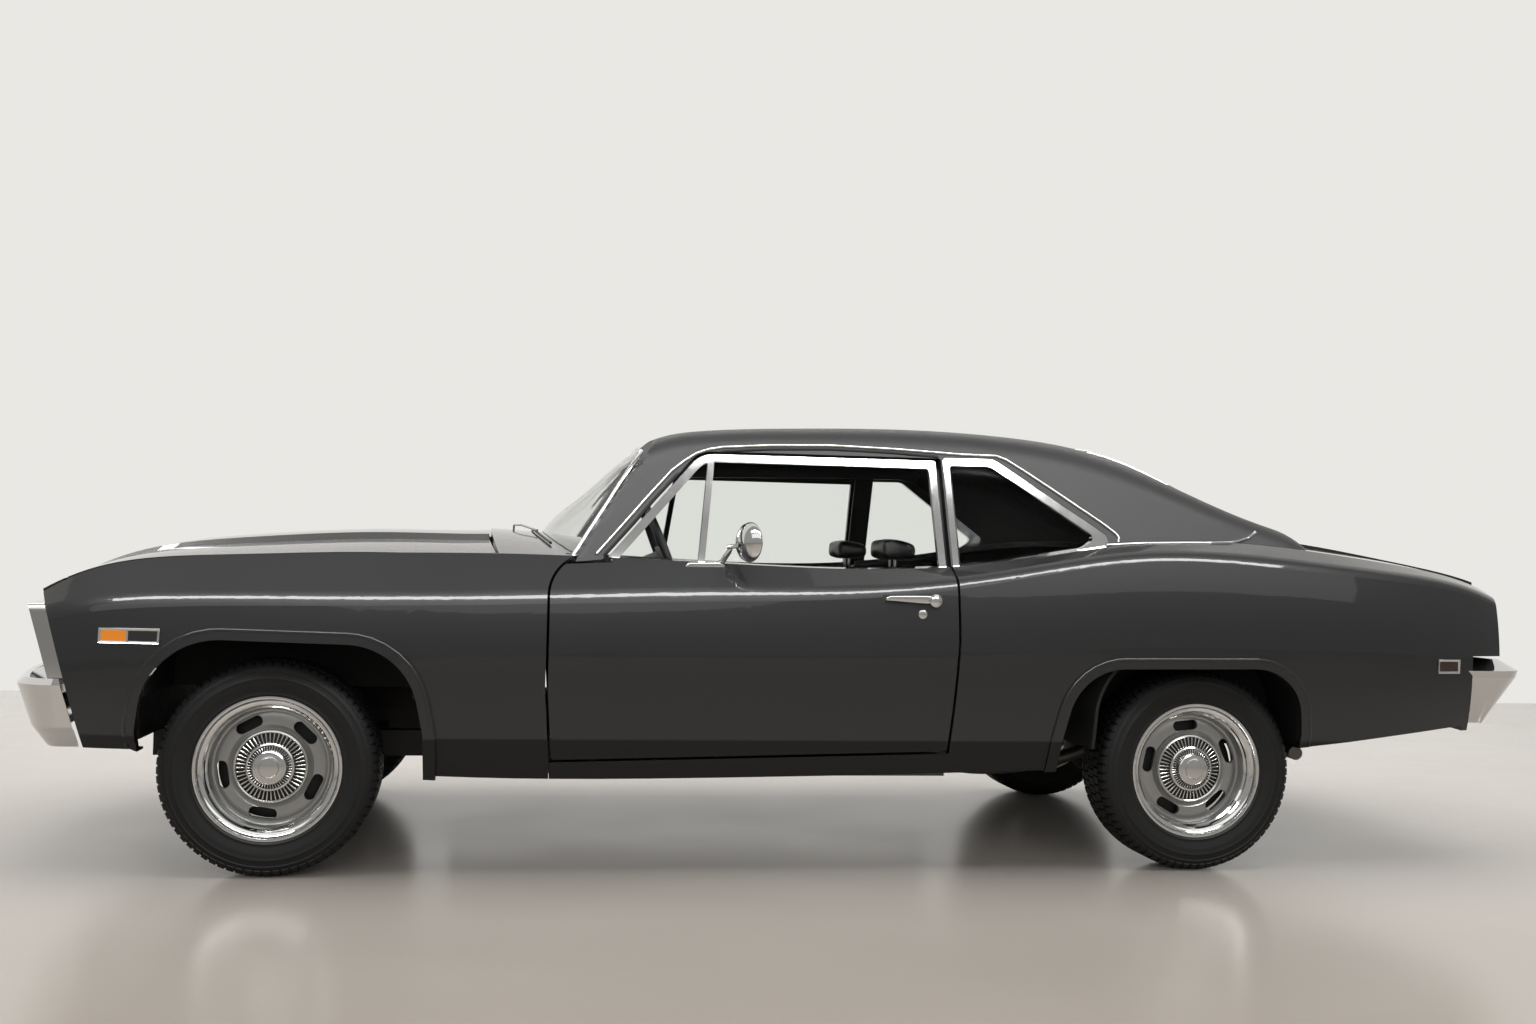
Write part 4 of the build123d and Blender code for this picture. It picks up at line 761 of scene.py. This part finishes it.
def build_mouldings():
    """Bright rods round the windshield, rear window and vinyl roof, and along the drip rails."""
    top = [(screen_x(y, z) + LIFT, y, z) for y, z in SCREEN_CORNER]
    for y in SCREEN_TOP_Y:
        z = screen_edge_z(y) + MOULD_OVER
        top.append((screen_x(y, z) + LIFT, y, z))
    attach(chrome_rod("windshield_moulding", both_ways(SCREEN_SIDE + top), MOULD_R), "body")
    rail = []
    for x, y, z in DRIP_RAIL:
        rail.append((x, side_of(["roof", "windshield_frame"], x, z, y) + LIFT, z))
    for label, flip in SIDES:
        line = [(x, y * flip, z) for x, y, z in rail]
        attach(chrome_rod(f"drip_rail_{label}", line, RAIL_R), "body")
    edge = []
    for x, z in VINYL_EDGE:
        edge.append((x, side_of(["roof", "quarter_panel_left"], x, z, SIDE_Y) + LIFT, z))
    for x, y in VINYL_END:
        edge.append((x, y, (top_of(["roof", "upper_deck_panel"], x, y) or DECK_Z) + LIFT))
    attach(chrome_rod("vinyl_roof_moulding", both_ways(edge), RAIL_R), "body")
    pane = list(REAR_GLASS_FOOT)
    for x, y in REAR_GLASS_EDGE:
        pane.append((x, y, (top_of(["roof", "rear_window"], x, y) or GLASS_Z) + 2 * LIFT))
    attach(chrome_rod("rear_window_moulding", pane, REAR_R), "body")
    mirrored = [(x, -y, z) for x, y, z in pane]
    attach(chrome_rod("rear_window_moulding_right", mirrored, REAR_R), "body")


screen_pieces = [opened_surround(), bowed_pane()]
build_mouldings()

# ------------------------------------------------------------------ door brightwork
BRIGHT_TILT = 0.2                                            # faces that look out this much are bright


def window_frame_of(side, flip):
    """The door's window frame alone, merged from the CAD node: bright outside, black inside."""
    node_name = f"door_brightwork_{side}"
    parts = loose_parts(merged_copy(node_name, f"door_window_frame_{side}"))
    parts.sort(key=lambda o: max(v.co.z for v in o.data.vertices))
    keep_part = parts.pop()
    for part in parts:
        bpy.data.objects.remove(part)
    keep_part.name = f"door_window_frame_{side}"
    painted(keep_part, chrome, black_plastic)
    for face in keep_part.data.polygons:
        face.material_index = 1 if face.normal.y * flip < BRIGHT_TILT else 0
        face.use_smooth = False
    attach(keep_part, f"door_{side}")
    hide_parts(node_name)


LEVER = [(-392, 829), (-392, 843), (-345, 848), (-235, 846), (-220, 840), (-220, 832), (-345, 824)]
LEVER_MIDDLE_X, LEVER_HALF, LEVER_BOW, LEVER_T = -306, 90, 10, 9
LEVER_FOOT = (-300, 836)                                     # x and z where its foot meets the door
RECESS = [(-398, 822), (-400, 850), (-215, 850), (-213, 824)]
RECESS_T, RECESS_Z = 1.5, 837
BUTTON = [(0, 22), (9, 21.5), (13, 19), (15, 17), (19, 16), (21, 12), (21, 0)]
LOCK = [(0, 6), (6, 6), (9, 5), (11, 4.4), (13.5, 3), (14, 0)]
ROUND_FURNITURE = [("lever_button", BUTTON, -374, 833), ("door_lock", LOCK, -335, 792)]


def door_lever():
    """Pull lever that bows out from the door between its two feet."""
    lever = slab("door_lever", LEVER, 0, LEVER_T, 3, 3)
    foot_y = skin_y("door_left", *LEVER_FOOT)
    for vertex in lever.data.vertices:
        bow = 1 - ((vertex.co.x * 1000 - LEVER_MIDDLE_X) / LEVER_HALF) ** 2
        vertex.co.y += (foot_y + 1 + LEVER_BOW * max(bow, 0)) / 1000
    return painted(smooth(lever, 40), chrome)


def build_door_furniture():
    """Window frame, lever, a thin black sheet of painted shade in its recess, button and lock, for each
    door.
    """
    for side, flip in SIDES:
        window_frame_of(side, flip)
        # the lever's recess is a flat black sheet lying on the door: painted shade, not a hollow
        recess = slab("lever_recess_shade", RECESS, 0, RECESS_T, 0.6)
        on_side(recess, "door_left", LEVER_MIDDLE_X, RECESS_Z, 0)
        made = [("door_lever", door_lever()), ("lever_recess_shade", painted(recess, black_plastic))]
        for name, profile, x, z in ROUND_FURNITURE:
            disc = painted(smooth(lathe(name, profile, 32, False), 30), chrome)
            disc.data.transform(Matrix.Translation(mm(x, skin_y("door_left", x, z) - 0.5, z)))
            made.append((name, disc))
        for name, obj in made:
            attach(handed(obj, f"{name}_{side}", flip), f"door_{side}")
            bpy.data.objects.remove(obj)


build_door_furniture()

# ------------------------------------------------------------------ door mirror
HEAD = [(0, -20), (16, -19), (32, -15), (46, -8), (56, 1), (60, 10), (60.5, 15), (58.5, 18), (56, 17),
        (55, 15), (0, 15)]
HEAD_FACE_Y, HEAD_FACE_R = 15, 55
HEAD_AT, HEAD_TURN = (203, 868, 998), 90 + 28                # its place, and its aim in degrees
BELT_X, BELT_Z = 320, 922                                    # the ledge that the foot stands on
FOOT = [(260, -4), (258, 5), (276, 11), (370, 9), (382, -4)]           # x, and z over the ledge
ARM_FOOT = [(304, 6), (272, 20)]                             # the arm's corners over the ledge
ARM_HEAD = [(258, 974), (250, 990), (238, 988), (240, 968)]
ARM_BACK = [(256, 14), (262, 6)]
ARM_OUT_Y, ARM_TOP_Z = 852, 990
PIN = [(256, 838, 982), (236, 848, 985), (212, 862, 994)]
PIN_R = 7
BELT_SEARCH = range(880, 780, -2)                            # y places tried, from outside inwards
FOOT_Y, ARM_Y = (-26, 3), (-20, -8)                          # y from and to, from the ledge's edge


def build_mirror():
    """Round door mirror: dished head turned a little out, tapered arm and a slim foot on the belt."""
    head = painted(smooth(lathe("door_mirror_head", HEAD, 64, False), 40), chrome, mirror_silver)
    for face in head.data.polygons:
        spot = face.center * 1000
        reach = (spot.x ** 2 + spot.z ** 2) ** 0.5
        if abs(spot.y - HEAD_FACE_Y) < 0.2 and reach < HEAD_FACE_R:
            face.material_index = 1
    aim = Matrix.Rotation(radians(HEAD_TURN), 4, "Z")
    head.data.transform(Matrix.Translation(mm(*HEAD_AT)) @ aim)
    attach(head, "door_left")
    edge = next(y for y in BELT_SEARCH if (skin_z("door_left", BELT_X, y) or 0) > BELT_Z)
    ledge = skin_z("door_left", BELT_X, edge)
    foot_line = [(x, ledge + z) for x, z in FOOT]
    foot = slab("door_mirror_foot", foot_line, edge + FOOT_Y[0], edge + FOOT_Y[1], 3, 3)
    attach(painted(smooth(foot, 40), chrome), "door_left")
    arm_foot = [(x, ledge + z) for x, z in ARM_FOOT]
    arm_back = [(x, ledge + z) for x, z in ARM_BACK]
    arm_line = arm_foot + ARM_HEAD + arm_back
    arm = slab("door_mirror_arm", arm_line, edge + ARM_Y[0], edge + ARM_Y[1], 4, 3)
    for vertex in arm.data.vertices:
        lift = max(vertex.co.z * 1000 - ledge - 10, 0) / (ARM_TOP_Z - ledge)
        vertex.co.y += (ARM_OUT_Y - edge) / 1000 * min(lift, 1)
    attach(painted(smooth(arm, 40), chrome), "door_left")
    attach(chrome_rod("door_mirror_pin", PIN, PIN_R), "door_left")


build_mirror()

# ------------------------------------------------------------------ seals, inner trim and arch beads
WEATHERSTRIP = [(624, 776, 948), (532, 719, 1052), (468, 681, 1128), (400, 641, 1203), (360, 624, 1238),
                (324, 612, 1262), (292, 605, 1275), (250, 600, 1284), (100, 597, 1296), (-94, 596, 1302),
                (-300, 598, 1297), (-448, 602, 1288)]
SEAL_R, SEAL_SUNK = 5.5, 2


def build_weatherstrips():
    """Rubber seals along the roof's edge over each door."""
    for side, flip in SIDES:
        line = []
        for x, y, z in WEATHERSTRIP:
            seal_y = side_of(["roof", "windshield_frame"], x, z, y) - SEAL_SUNK
            line.append((x, flip * seal_y, z))
        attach(painted(rod(f"weatherstrip_{side}", line, SEAL_R), black_rubber), "body")


RAIL_TRIM = [(372, 1262), (322, 1306), (-640, 1322), (-690, 1290), (-660, 1262), (-600, 1272),
             (-300, 1270), (330, 1254)]
RAIL_TRIM_Y = (566, 588)
POST_LOW, POST_HIGH, POST_INSET = (-498, 0, 926), (-424, 16, 1296), 56
TUMBLE_Y, TUMBLE_Z, TUMBLE_RUN = 785.0, 930.0, 0.446         # the side's lean inwards over its belt
TRIM_ROUND = 4


def build_inner_trim():
    """Black cant rails and lock pillar covers inside the cabin, behind the door frames."""
    for side, flip in SIDES:
        rail = slab("cant_rail", RAIL_TRIM, *RAIL_TRIM_Y, TRIM_ROUND)
        post = cube("lock_pillar_cover", POST_LOW, POST_HIGH, TRIM_ROUND)
        for vertex in post.data.vertices:
            vertex.co.y += (TUMBLE_Y - POST_INSET) / 1000 - TUMBLE_RUN * (vertex.co.z - TUMBLE_Z / 1000)
        for obj in (rail, post):
            painted(smooth(obj, 40), black_plastic)
            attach(handed(obj, f"{obj.name}_{side}", flip), "body")
            bpy.data.objects.remove(obj)


# corners of the arch lips as ((x, z), radius)
FRONT_BEAD = [((1104, 240), 0), ((1110, 425), 60), ((1164, 704), 240), ((1922, 719), 255),
              ((1973, 425), 60), ((1968, 372), 0)]
REAR_BEAD = [((-1607, 392), 0), ((-1607, 435), 60), ((-1571, 670), 195), ((-810, 662), 205),
             ((-761, 425), 60), ((-750, 240), 0)]
ARCHES = [("front", FRONT_BEAD, "fender_left"), ("rear", REAR_BEAD, "quarter_panel_left")]
CORNER_STEPS = 8
BEAD_R, BEAD_SUNK = 5.5, 2
OUTER_Y = 700                                                # what lies further in is no outer panel


def rounded(corners):
    """A side-view line with its corners rounded, from ((x, z), radius) rows."""
    line = []
    for i, (spot, radius) in enumerate(corners):
        spot = Vector(spot)
        if not radius:
            line.append(spot)
            continue
        to_last = (Vector(corners[i - 1][0]) - spot).normalized()
        to_next = (Vector(corners[i + 1][0]) - spot).normalized()
        half = to_last.angle(to_next) / 2
        middle = spot + (to_last + to_next).normalized() * (radius / sin(half))
        start, end = spot + to_last * radius / tan(half), spot + to_next * radius / tan(half)
        for step in range(CORNER_STEPS + 1):
            ray = (start - middle).lerp(end - middle, step / CORNER_STEPS)
            line.append(middle + ray.normalized() * radius)
    return line


def build_arch_beads():
    """Rolled bead along the outer edge of each wheel-arch lip."""
    for name, corners, node_name in ARCHES:
        line = [(x, skin_y(node_name, x, z), z) for x, z in rounded(corners)]
        line = [(x, y - BEAD_SUNK, z) for x, y, z in line if y is not None and y > OUTER_Y]
        for side, flip in SIDES:
            points = [(x, y * flip, z) for x, y, z in line]
            bead = rod(f"{name}_arch_bead_{side}", points, BEAD_R)
            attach(painted(bead, paint), "body")


build_weatherstrips()
build_inner_trim()
build_arch_beads()

# ------------------------------------------------------------------ side markers
FRONT_PANEL, REAR_PANEL = ("fender_left", 1958, 693), ("quarter_panel_left", -2080, 650)
MARKER_RING, MARKER_T, MARKER_LIFT = 7, 6, 0.5


def marker_pieces():
    """Every marker piece as (name, object, finish, its panel with the marker's middle)."""
    front_bezel = frame_ring("bezel", 1873, 2044, 671, 715, MARKER_RING, MARKER_T)
    front_lens = cube("lens", (1966, 0, 678), (2037, 4, 708), 1.5)
    blank = cube("blank", (1880, 0, 678), (1960, 3.4, 708), 1.0)
    bar = cube("bar", (1960, 0, 677), (1966, 5.5, 709), 0.8)
    rear_bezel = frame_ring("bezel", -2122, -2039, 628, 674, MARKER_RING, MARKER_T)
    rear_lens = cube("lens", (-2115, 0, 635), (-2046, 4, 667), 1.5)
    return [
        ("front_marker_bezel", front_bezel, chrome, FRONT_PANEL),
        ("front_marker_lens", front_lens, amber_lens, FRONT_PANEL),
        ("front_marker_blank", blank, black_plastic, FRONT_PANEL),
        ("front_marker_bar", bar, chrome, FRONT_PANEL),
        ("rear_marker_bezel", rear_bezel, chrome, REAR_PANEL),
        ("rear_marker_lens", rear_lens, smoke_lens, REAR_PANEL),
    ]


def build_markers():
    """Side markers laid on the curve of the fenders and quarter panels."""
    for name, obj, mat, (node_name, x, z) in marker_pieces():
        on_side(painted(obj, mat), node_name, x, z, MARKER_LIFT)
        for label, flip in SIDES:
            made = handed(obj, f"{name}_{label}", flip)
            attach(made, "body")
            if name == "front_marker_bezel" and label == "left":
                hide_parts("side_markers")
        bpy.data.objects.remove(obj)


build_markers()

# ------------------------------------------------------------------ headlamps and tail
LAMP_X, LAMP_Y, LAMP_Z = 2196, 639.5, 663.5
LAMP_STEPS = 48
LENS = [(0, 20), (20, 19.4), (40, 17.4), (60, 13.5), (74, 8), (79, 2), (79, -4), (74, -2), (60, 6), (40, 12),
        (20, 14.6), (0, 15.5)]
BOWL = [(0, -52), (16, -50), (34, -42), (52, -28), (66, -12), (76, 0), (78, 0), (68, -14), (54, -30),
        (36, -45), (16, -53), (0, -55)]
LAMP_BEZEL = [(78, 2), (80, 8), (83, 9), (86, 6), (87, 0), (87, -30), (84, -30), (84, -4), (78, -4)]


def build_headlamps():
    """Lens, reflector bowl and bezel of each lamp, turned about Y and aimed ahead."""
    aim = Matrix.Rotation(-pi / 2, 4, "Z")
    rows = [("headlamp_lens", LENS, lamp_glass), ("headlamp_bowl", BOWL, reflector),
            ("headlamp_bezel", LAMP_BEZEL, chrome)]
    for name, profile, mat in rows:
        obj = painted(smooth(lathe(name, profile, LAMP_STEPS), 30), mat)
        for label, flip in SIDES:
            place = Matrix.Translation(mm(LAMP_X, LAMP_Y * flip, LAMP_Z))
            made = copied(obj, f"{name}_{label}", place @ aim)
            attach(made, "body")
            if name == "headlamp_lens" and label == "left":
                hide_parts("headlamps")
        bpy.data.objects.remove(obj)


build_headlamps()


TAIL_LAMP = [(368, 712), (368, 812), (515, 812), (662, 812), (662, 712), (515, 712), (368, 712)]   # y and z
TAIL_INSIDE_Y, TAIL_INSIDE_Z = (374, 656), (716, 808)        # where a ray surely meets the lamp
TAIL_X = -2360                                               # the lamp's place where a ray misses it
PLATE_HALF, PLATE_Z, PLATE_T, PLATE_OFF = 150, (700, 850), 2.5, 3
TAIL_BEZEL_R, TAIL_BEZEL_SUNK = 5, 3


def build_tail():
    """A bright bezel round each tail lamp, and the blank plate between them."""
    for label, flip in SIDES:
        line = []
        for y, z in TAIL_LAMP:
            inside_y = min(max(y, TAIL_INSIDE_Y[0]), TAIL_INSIDE_Y[1]) * flip
            inside_z = min(max(z, TAIL_INSIDE_Z[0]), TAIL_INSIDE_Z[1])
            x = skin_x("tail_lamps", inside_y, inside_z, -1) or TAIL_X
            line.append((x + TAIL_BEZEL_SUNK, y * flip, z))
        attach(chrome_rod(f"tail_lamp_bezel_{label}", line, TAIL_BEZEL_R), "body")
    plate_x = skin_x("tail_panel", 0, sum(PLATE_Z) / 2, -1) - PLATE_OFF
    low, high = (plate_x - PLATE_T, -PLATE_HALF, PLATE_Z[0]), (plate_x, PLATE_HALF, PLATE_Z[1])
    plate = cube("rear_plate_blank", low, high, 1.0)
    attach(painted(smooth(plate), plate_paint), "body")


build_tail()

# ------------------------------------------------------------------ wipers
WIPERS = [("left", 330), ("right", -250)]                    # each blade's middle on Y
BLADE_PITCH, BLADE_R, BLADE_LIFT = 52, 4.5, 7
BLADE_X, BLADE_BOW = 842, 0.00017                            # its place and its bow with the glass
ARM_PIVOT_X, ARM_REACH, ARM_R = 905, 190, 3.6
BLADE_Z, PIVOT_Z = 1000, 1015                                # places where a ray misses the panels
PIVOT_RISE = 16


def build_wipers():
    """Blades laid on the glass, each with its arm from the cowl."""
    for label, middle in WIPERS:
        line = []
        for step in range(-5, 6):
            y = middle + step * BLADE_PITCH
            x = BLADE_X - BLADE_BOW * y * y
            z = top_of(["windshield", "cowl_panel", "windshield_frame"], x, y) or BLADE_Z
            line.append((x, y, z + BLADE_LIFT))
        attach(painted(rod(f"wiper_blade_{label}", line, BLADE_R), black_plastic), "body")
        pivot_y = middle - ARM_REACH
        x, y, z = line[5]
        base = top_of(["cowl_panel"], ARM_PIVOT_X, pivot_y) or PIVOT_Z
        arm = [(ARM_PIVOT_X, pivot_y, base), (ARM_PIVOT_X - 1, pivot_y + 4, base + PIVOT_RISE),
               (ARM_PIVOT_X - 25, pivot_y + 70, base + PIVOT_RISE), (x + 2, y, z + 8)]
        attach(chrome_rod(f"wiper_arm_{label}", arm, ARM_R, satin_alloy), "body")


build_wipers()

# ------------------------------------------------------------------ seats
PRESSURE, FRAMES = 4, 20                 # the stuffing's push and the time it gets


def stuffed(obj, voxel, limit):
    """Remeshes a pad evenly, fills it with a little pressure and caps how far it swells."""
    only(obj)
    even = obj.modifiers.new("even", "REMESH")
    even.mode = "VOXEL"
    even.voxel_size = voxel / 1000
    apply(obj, "even")
    rest = [v.co.copy() for v in obj.data.vertices]
    cloth = obj.modifiers.new("stuffing", "CLOTH")
    cloth.settings.use_pressure = True
    cloth.settings.uniform_pressure_force = PRESSURE
    cloth.settings.effector_weights.gravity = 0
    cloth.point_cache.frame_end = FRAMES
    for step in range(1, FRAMES + 1):
        bpy.context.scene.frame_set(step)
    apply(obj, "stuffing")
    bpy.context.scene.frame_set(1)
    for vertex, was in zip(obj.data.vertices, rest):
        moved = vertex.co - was
        if moved.length > limit / 1000:
            vertex.co = was + moved * (limit / 1000 / moved.length)


CHANNEL_DEPTH, CHANNEL_HALF, CHANNEL_END = 7, 10, 70
LEAST_FACING = 0.35                      # faces turned further away than this aren't sewn


def channels(obj, lines, y_range, facing):
    """Sews straight channels along X and up the pad, at these y places, into its outer face."""
    for vertex in obj.data.vertices:
        y = vertex.co.y * 1000
        if vertex.normal.dot(facing) < LEAST_FACING or not y_range[0] < y < y_range[1]:
            continue
        near = min(abs(y - line) for line in lines)
        share = max(0.0, 1 - near / CHANNEL_HALF)
        vertex.co -= vertex.normal * (CHANNEL_DEPTH / 1000) * share ** 2


def finish_pad(obj, mat):
    """Rounds a pad once more and finishes it."""
    only(obj)
    soft = obj.modifiers.new("fine", "SUBSURF")
    soft.levels = soft.render_levels = 1
    apply(obj, "fine")
    smooth(obj, 80)
    painted(obj, mat)
    return obj


CUSHION = [(192, 480), (196, 585), (150, 596), (-60, 568), (-232, 552), (-236, 460), (0, 452)]
BACKREST = [(-196, 552), (-306, 868), (-382, 862), (-330, 620), (-296, 520)]
HEADREST = [(-302, 960), (-304, 1018), (-340, 1020), (-414, 1004), (-414, 962), (-350, 956)]
REAR_CUSHION = [(-584, 535), (-584, 592), (-640, 602), (-850, 590), (-990, 580), (-990, 530)]
REAR_BACK = [(-772, 606), (-888, 915), (-952, 915), (-902, 612)]
UP, AHEAD = Vector((0.2, 0, 1)).normalized(), Vector((1, 0, 0.35)).normalized()
BUCKET_Y, BENCH_Y = (153, 617), (-550, 550)
BUCKET_LINES, BENCH_LINES = range(225, 560, 40), range(-480, 500, 48)
# name, outline, y from and to, voxel, most swelling, channels, way it faces, fill
PADS = [
    ("front_cushion", CUSHION, BUCKET_Y, 9, 9, BUCKET_LINES, UP, 0.8),
    ("front_backrest", BACKREST, BUCKET_Y, 9, 9, BUCKET_LINES, AHEAD, 0.8),
    ("headrest", HEADREST, (276, 494), 6, 4, None, UP, 0.9),
    ("rear_cushion", REAR_CUSHION, BENCH_Y, 11, 8, BENCH_LINES, UP, 0.8),
    ("rear_backrest", REAR_BACK, BENCH_Y, 11, 8, BENCH_LINES, AHEAD, 0.8),
]
PAD_ROUND = 14
BASE_Y, BASE_ROUND = (165, 605), 6
STANDS_FOR = {"front_cushion": "front_seats", "rear_cushion": "rear_seat"}
SEAT_BASE = [(180, 340), (178, 470), (-225, 455), (-225, 340)]
POST_X, POST_Y, POST_Z, POST_R = -360, (345, 425), (850, 968), 6       # the headrest's two posts


def pad_of(name, outline, y_range, voxel, limit, lines, facing, fill):
    """One stuffed pad with its sewn channels."""
    pad = slab(name, outline, *y_range, PAD_ROUND, 3)
    stuffed(pad, voxel, limit)
    if lines:
        sewn = (y_range[0] + CHANNEL_END, y_range[1] - CHANNEL_END)
        channels(pad, lines, sewn, facing)
    return finish_pad(pad, black_vinyl)


def build_seats():
    """Bucket seats with headrests and bases, and the rear bench."""
    pads = [(row[0], pad_of(*row)) for row in PADS]
    for name, pad in pads:
        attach(pad, "body")
        if name.startswith(("front", "head")):
            twin = handed(pad, f"{name}_right", -1)
            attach(twin, "body")
        if name in STANDS_FOR:
            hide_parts(STANDS_FOR[name])
    for label, flip in SIDES:
        base = slab("seat_base", SEAT_BASE, *BASE_Y, BASE_ROUND)
        made = handed(painted(base, black_plastic), f"seat_base_{label}", flip)
        bpy.data.objects.remove(base)
        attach(made, "body")
        for spot in POST_Y:
            line = [(POST_X, spot * flip, z) for z in POST_Z]
            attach(chrome_rod(f"headrest_post_{spot}_{label}", line, POST_R), "body")


build_seats()

# rays were cast on these two nodes until here
for piece, node_name in zip(screen_pieces, ("windshield_frame", "windshield")):
    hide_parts(node_name)

# ------------------------------------------------------------------ stage
WALL_Y, NEAR_Y = -4.9, 2.6
STAGE_SIZE = 60


def stage_plane(name, mat, place, turn=(0, 0, 0)):
    """A large flat stage surface with its finish."""
    deselect()
    bpy.ops.mesh.primitive_plane_add(size=STAGE_SIZE, location=place, rotation=turn)
    obj = bpy.context.object
    obj.name = name
    painted(obj, mat)


def lit_for_eye(mat, colour, strength):
    """Shows a stage surface at its own colour to the camera, to mirrors and through glass."""
    path = node(mat, "ShaderNodeLightPath")
    eye = node(mat, "ShaderNodeMath", {"operation": "MAXIMUM"}, i0=path.outputs["Is Camera Ray"],
               i1=path.outputs["Is Glossy Ray"])
    both = node(mat, "ShaderNodeMath", {"operation": "MAXIMUM"}, i0=eye.outputs[0],
                i1=path.outputs["Is Transmission Ray"])
    glow = node(mat, "ShaderNodeEmission", {"Color": linear(colour), "Strength": strength})
    mixed = node(mat, "ShaderNodeMixShader", {}, Fac=both.outputs[0])
    mat.node_tree.links.new(shader_of(mat).outputs["BSDF"], mixed.inputs[1])
    mat.node_tree.links.new(glow.outputs["Emission"], mixed.inputs[2])
    return mixed.outputs["Shader"]


# polished concrete with cloudy reflections, and painted light: paler by the wall and darker towards the eye
floor_paint = finish_named("polished_concrete", "#b3aea8", 0.2, 0.0, Specular_IOR_Level=0.35)
spot = node(floor_paint, "ShaderNodeSeparateXYZ", Vector=here(floor_paint)).outputs["Y"]
away = node(floor_paint, "ShaderNodeMapRange", {"From Min": WALL_Y, "From Max": NEAR_Y}, Value=spot)
# this ramp paints the fall of light from the wall towards the eye into the floor's colour
light_falloff_ramp = node(floor_paint, "ShaderNodeValToRGB", {}, Fac=away.outputs["Result"])
light_falloff_ramp.color_ramp.elements[0].color = linear("#d6d2cc")
light_falloff_ramp.color_ramp.elements[1].color = linear("#aaa299")
cloud = node(floor_paint, "ShaderNodeTexNoise", {"Scale": 1.6, "Detail": 8.0}, Vector=here(floor_paint))
cloudy = node(floor_paint, "ShaderNodeMapRange", {"To Min": 0.12, "To Max": 0.3}, Value=cloud.outputs["Fac"])
join(floor_paint, cloudy.outputs["Result"], "Roughness")
join(floor_paint, light_falloff_ramp.outputs["Color"], "Base Color")
stage_plane("studio_floor", floor_paint, (0, 0, 0))

# matt wall paint: an even pale ground, open from behind so that every side can be seen
wall_paint = finish_named("matt_wall_paint", "#e9e7e4", 0.9)
tree = wall_paint.node_tree
see = node(wall_paint, "ShaderNodeNewGeometry")
clear = node(wall_paint, "ShaderNodeBsdfTransparent")
either = node(wall_paint, "ShaderNodeMixShader", {}, Fac=see.outputs["Backfacing"])
tree.links.new(lit_for_eye(wall_paint, "#eceae6", 0.98), either.inputs[1])
tree.links.new(clear.outputs["BSDF"], either.inputs[2])
tree.links.new(either.outputs["Shader"], tree.nodes["Material Output"].inputs["Surface"])
stage_plane("studio_wall", wall_paint, (0, WALL_Y, 12), (-pi / 2, 0, 0))

scene = bpy.context.scene
scene.view_settings.view_transform = "Standard"
world = bpy.data.worlds.new("studio")
scene.world = world
world.use_nodes = True
background = world.node_tree.nodes["Background"]
background.inputs["Color"].default_value = linear("#dcdbd9")
background.inputs["Strength"].default_value = 0.5


def softbox(name, place, size, power, aim, mirrored, lights=True):
    """A rectangular area lamp that looks at a point."""
    data = bpy.data.lights.new(name, "AREA")
    data.shape = "RECTANGLE"
    data.size, data.size_y = size
    data.energy = power
    lamp = bpy.data.objects.new(name, data)
    scene.collection.objects.link(lamp)
    lamp.location = place
    lamp.rotation_mode = "QUATERNION"
    lamp.rotation_quaternion = (Vector(aim) - Vector(place)).to_track_quat("-Z", "Y")
    lamp.visible_glossy = mirrored
    lamp.visible_diffuse = lights
    return lamp


# name, place, size, power, the point it looks at, shown in mirrors, lights matt surfaces
softbox("ceiling_box", (0, 0.4, 5.2), (9, 5.0), 330, (0, 0, 0), False)
softbox("front_fill", (0.6, 7.5, 2.6), (9, 3.0), 260, (0, 0, 0.2), False)
softbox("wall_wash", (0, -3.4, 4.6), (11, 0.8), 90, (0, -3.6, 0), False)
softbox("near_strip", (0.2, 3.3, 5.5), (10, 0.9), 560, (0, 0.9, 0.8), True, False)
softbox("pale_card", (0.2, 5.0, 4.0), (12, 2.2), 72, (0, 0.8, 1.0), True, False)
softbox("far_strip", (0, -3.6, 5.0), (10, 0.5), 110, (0, 0, 0.8), True, False)

# ------------------------------------------------------------------ camera
EYE = Vector((0.8251, 5.4954, 0.9641))
YAW, PITCH, ROLL = -0.1471, 0.0270, -0.0222
FOCAL, SENSOR = 36.40, 36
ahead, right, up = Vector((0, -1, 0)), Vector((-1, 0, 0)), Vector((0, 0, 1))
turn = Matrix.Rotation(YAW, 3, up)
ahead, right = turn @ ahead, turn @ right
turn = Matrix.Rotation(PITCH, 3, right)
ahead, up = turn @ ahead, turn @ up
turn = Matrix.Rotation(ROLL, 3, ahead)
right, up = turn @ right, turn @ up
cam_data = bpy.data.cameras.new("main_camera")
cam_data.lens = FOCAL
cam_data.sensor_width = SENSOR
cam = bpy.data.objects.new("main_camera", cam_data)
scene.collection.objects.link(cam)
basis = Matrix((right, up, -ahead)).transposed()
cam.matrix_world = Matrix.Translation(EYE) @ basis.to_4x4()
scene.camera = cam
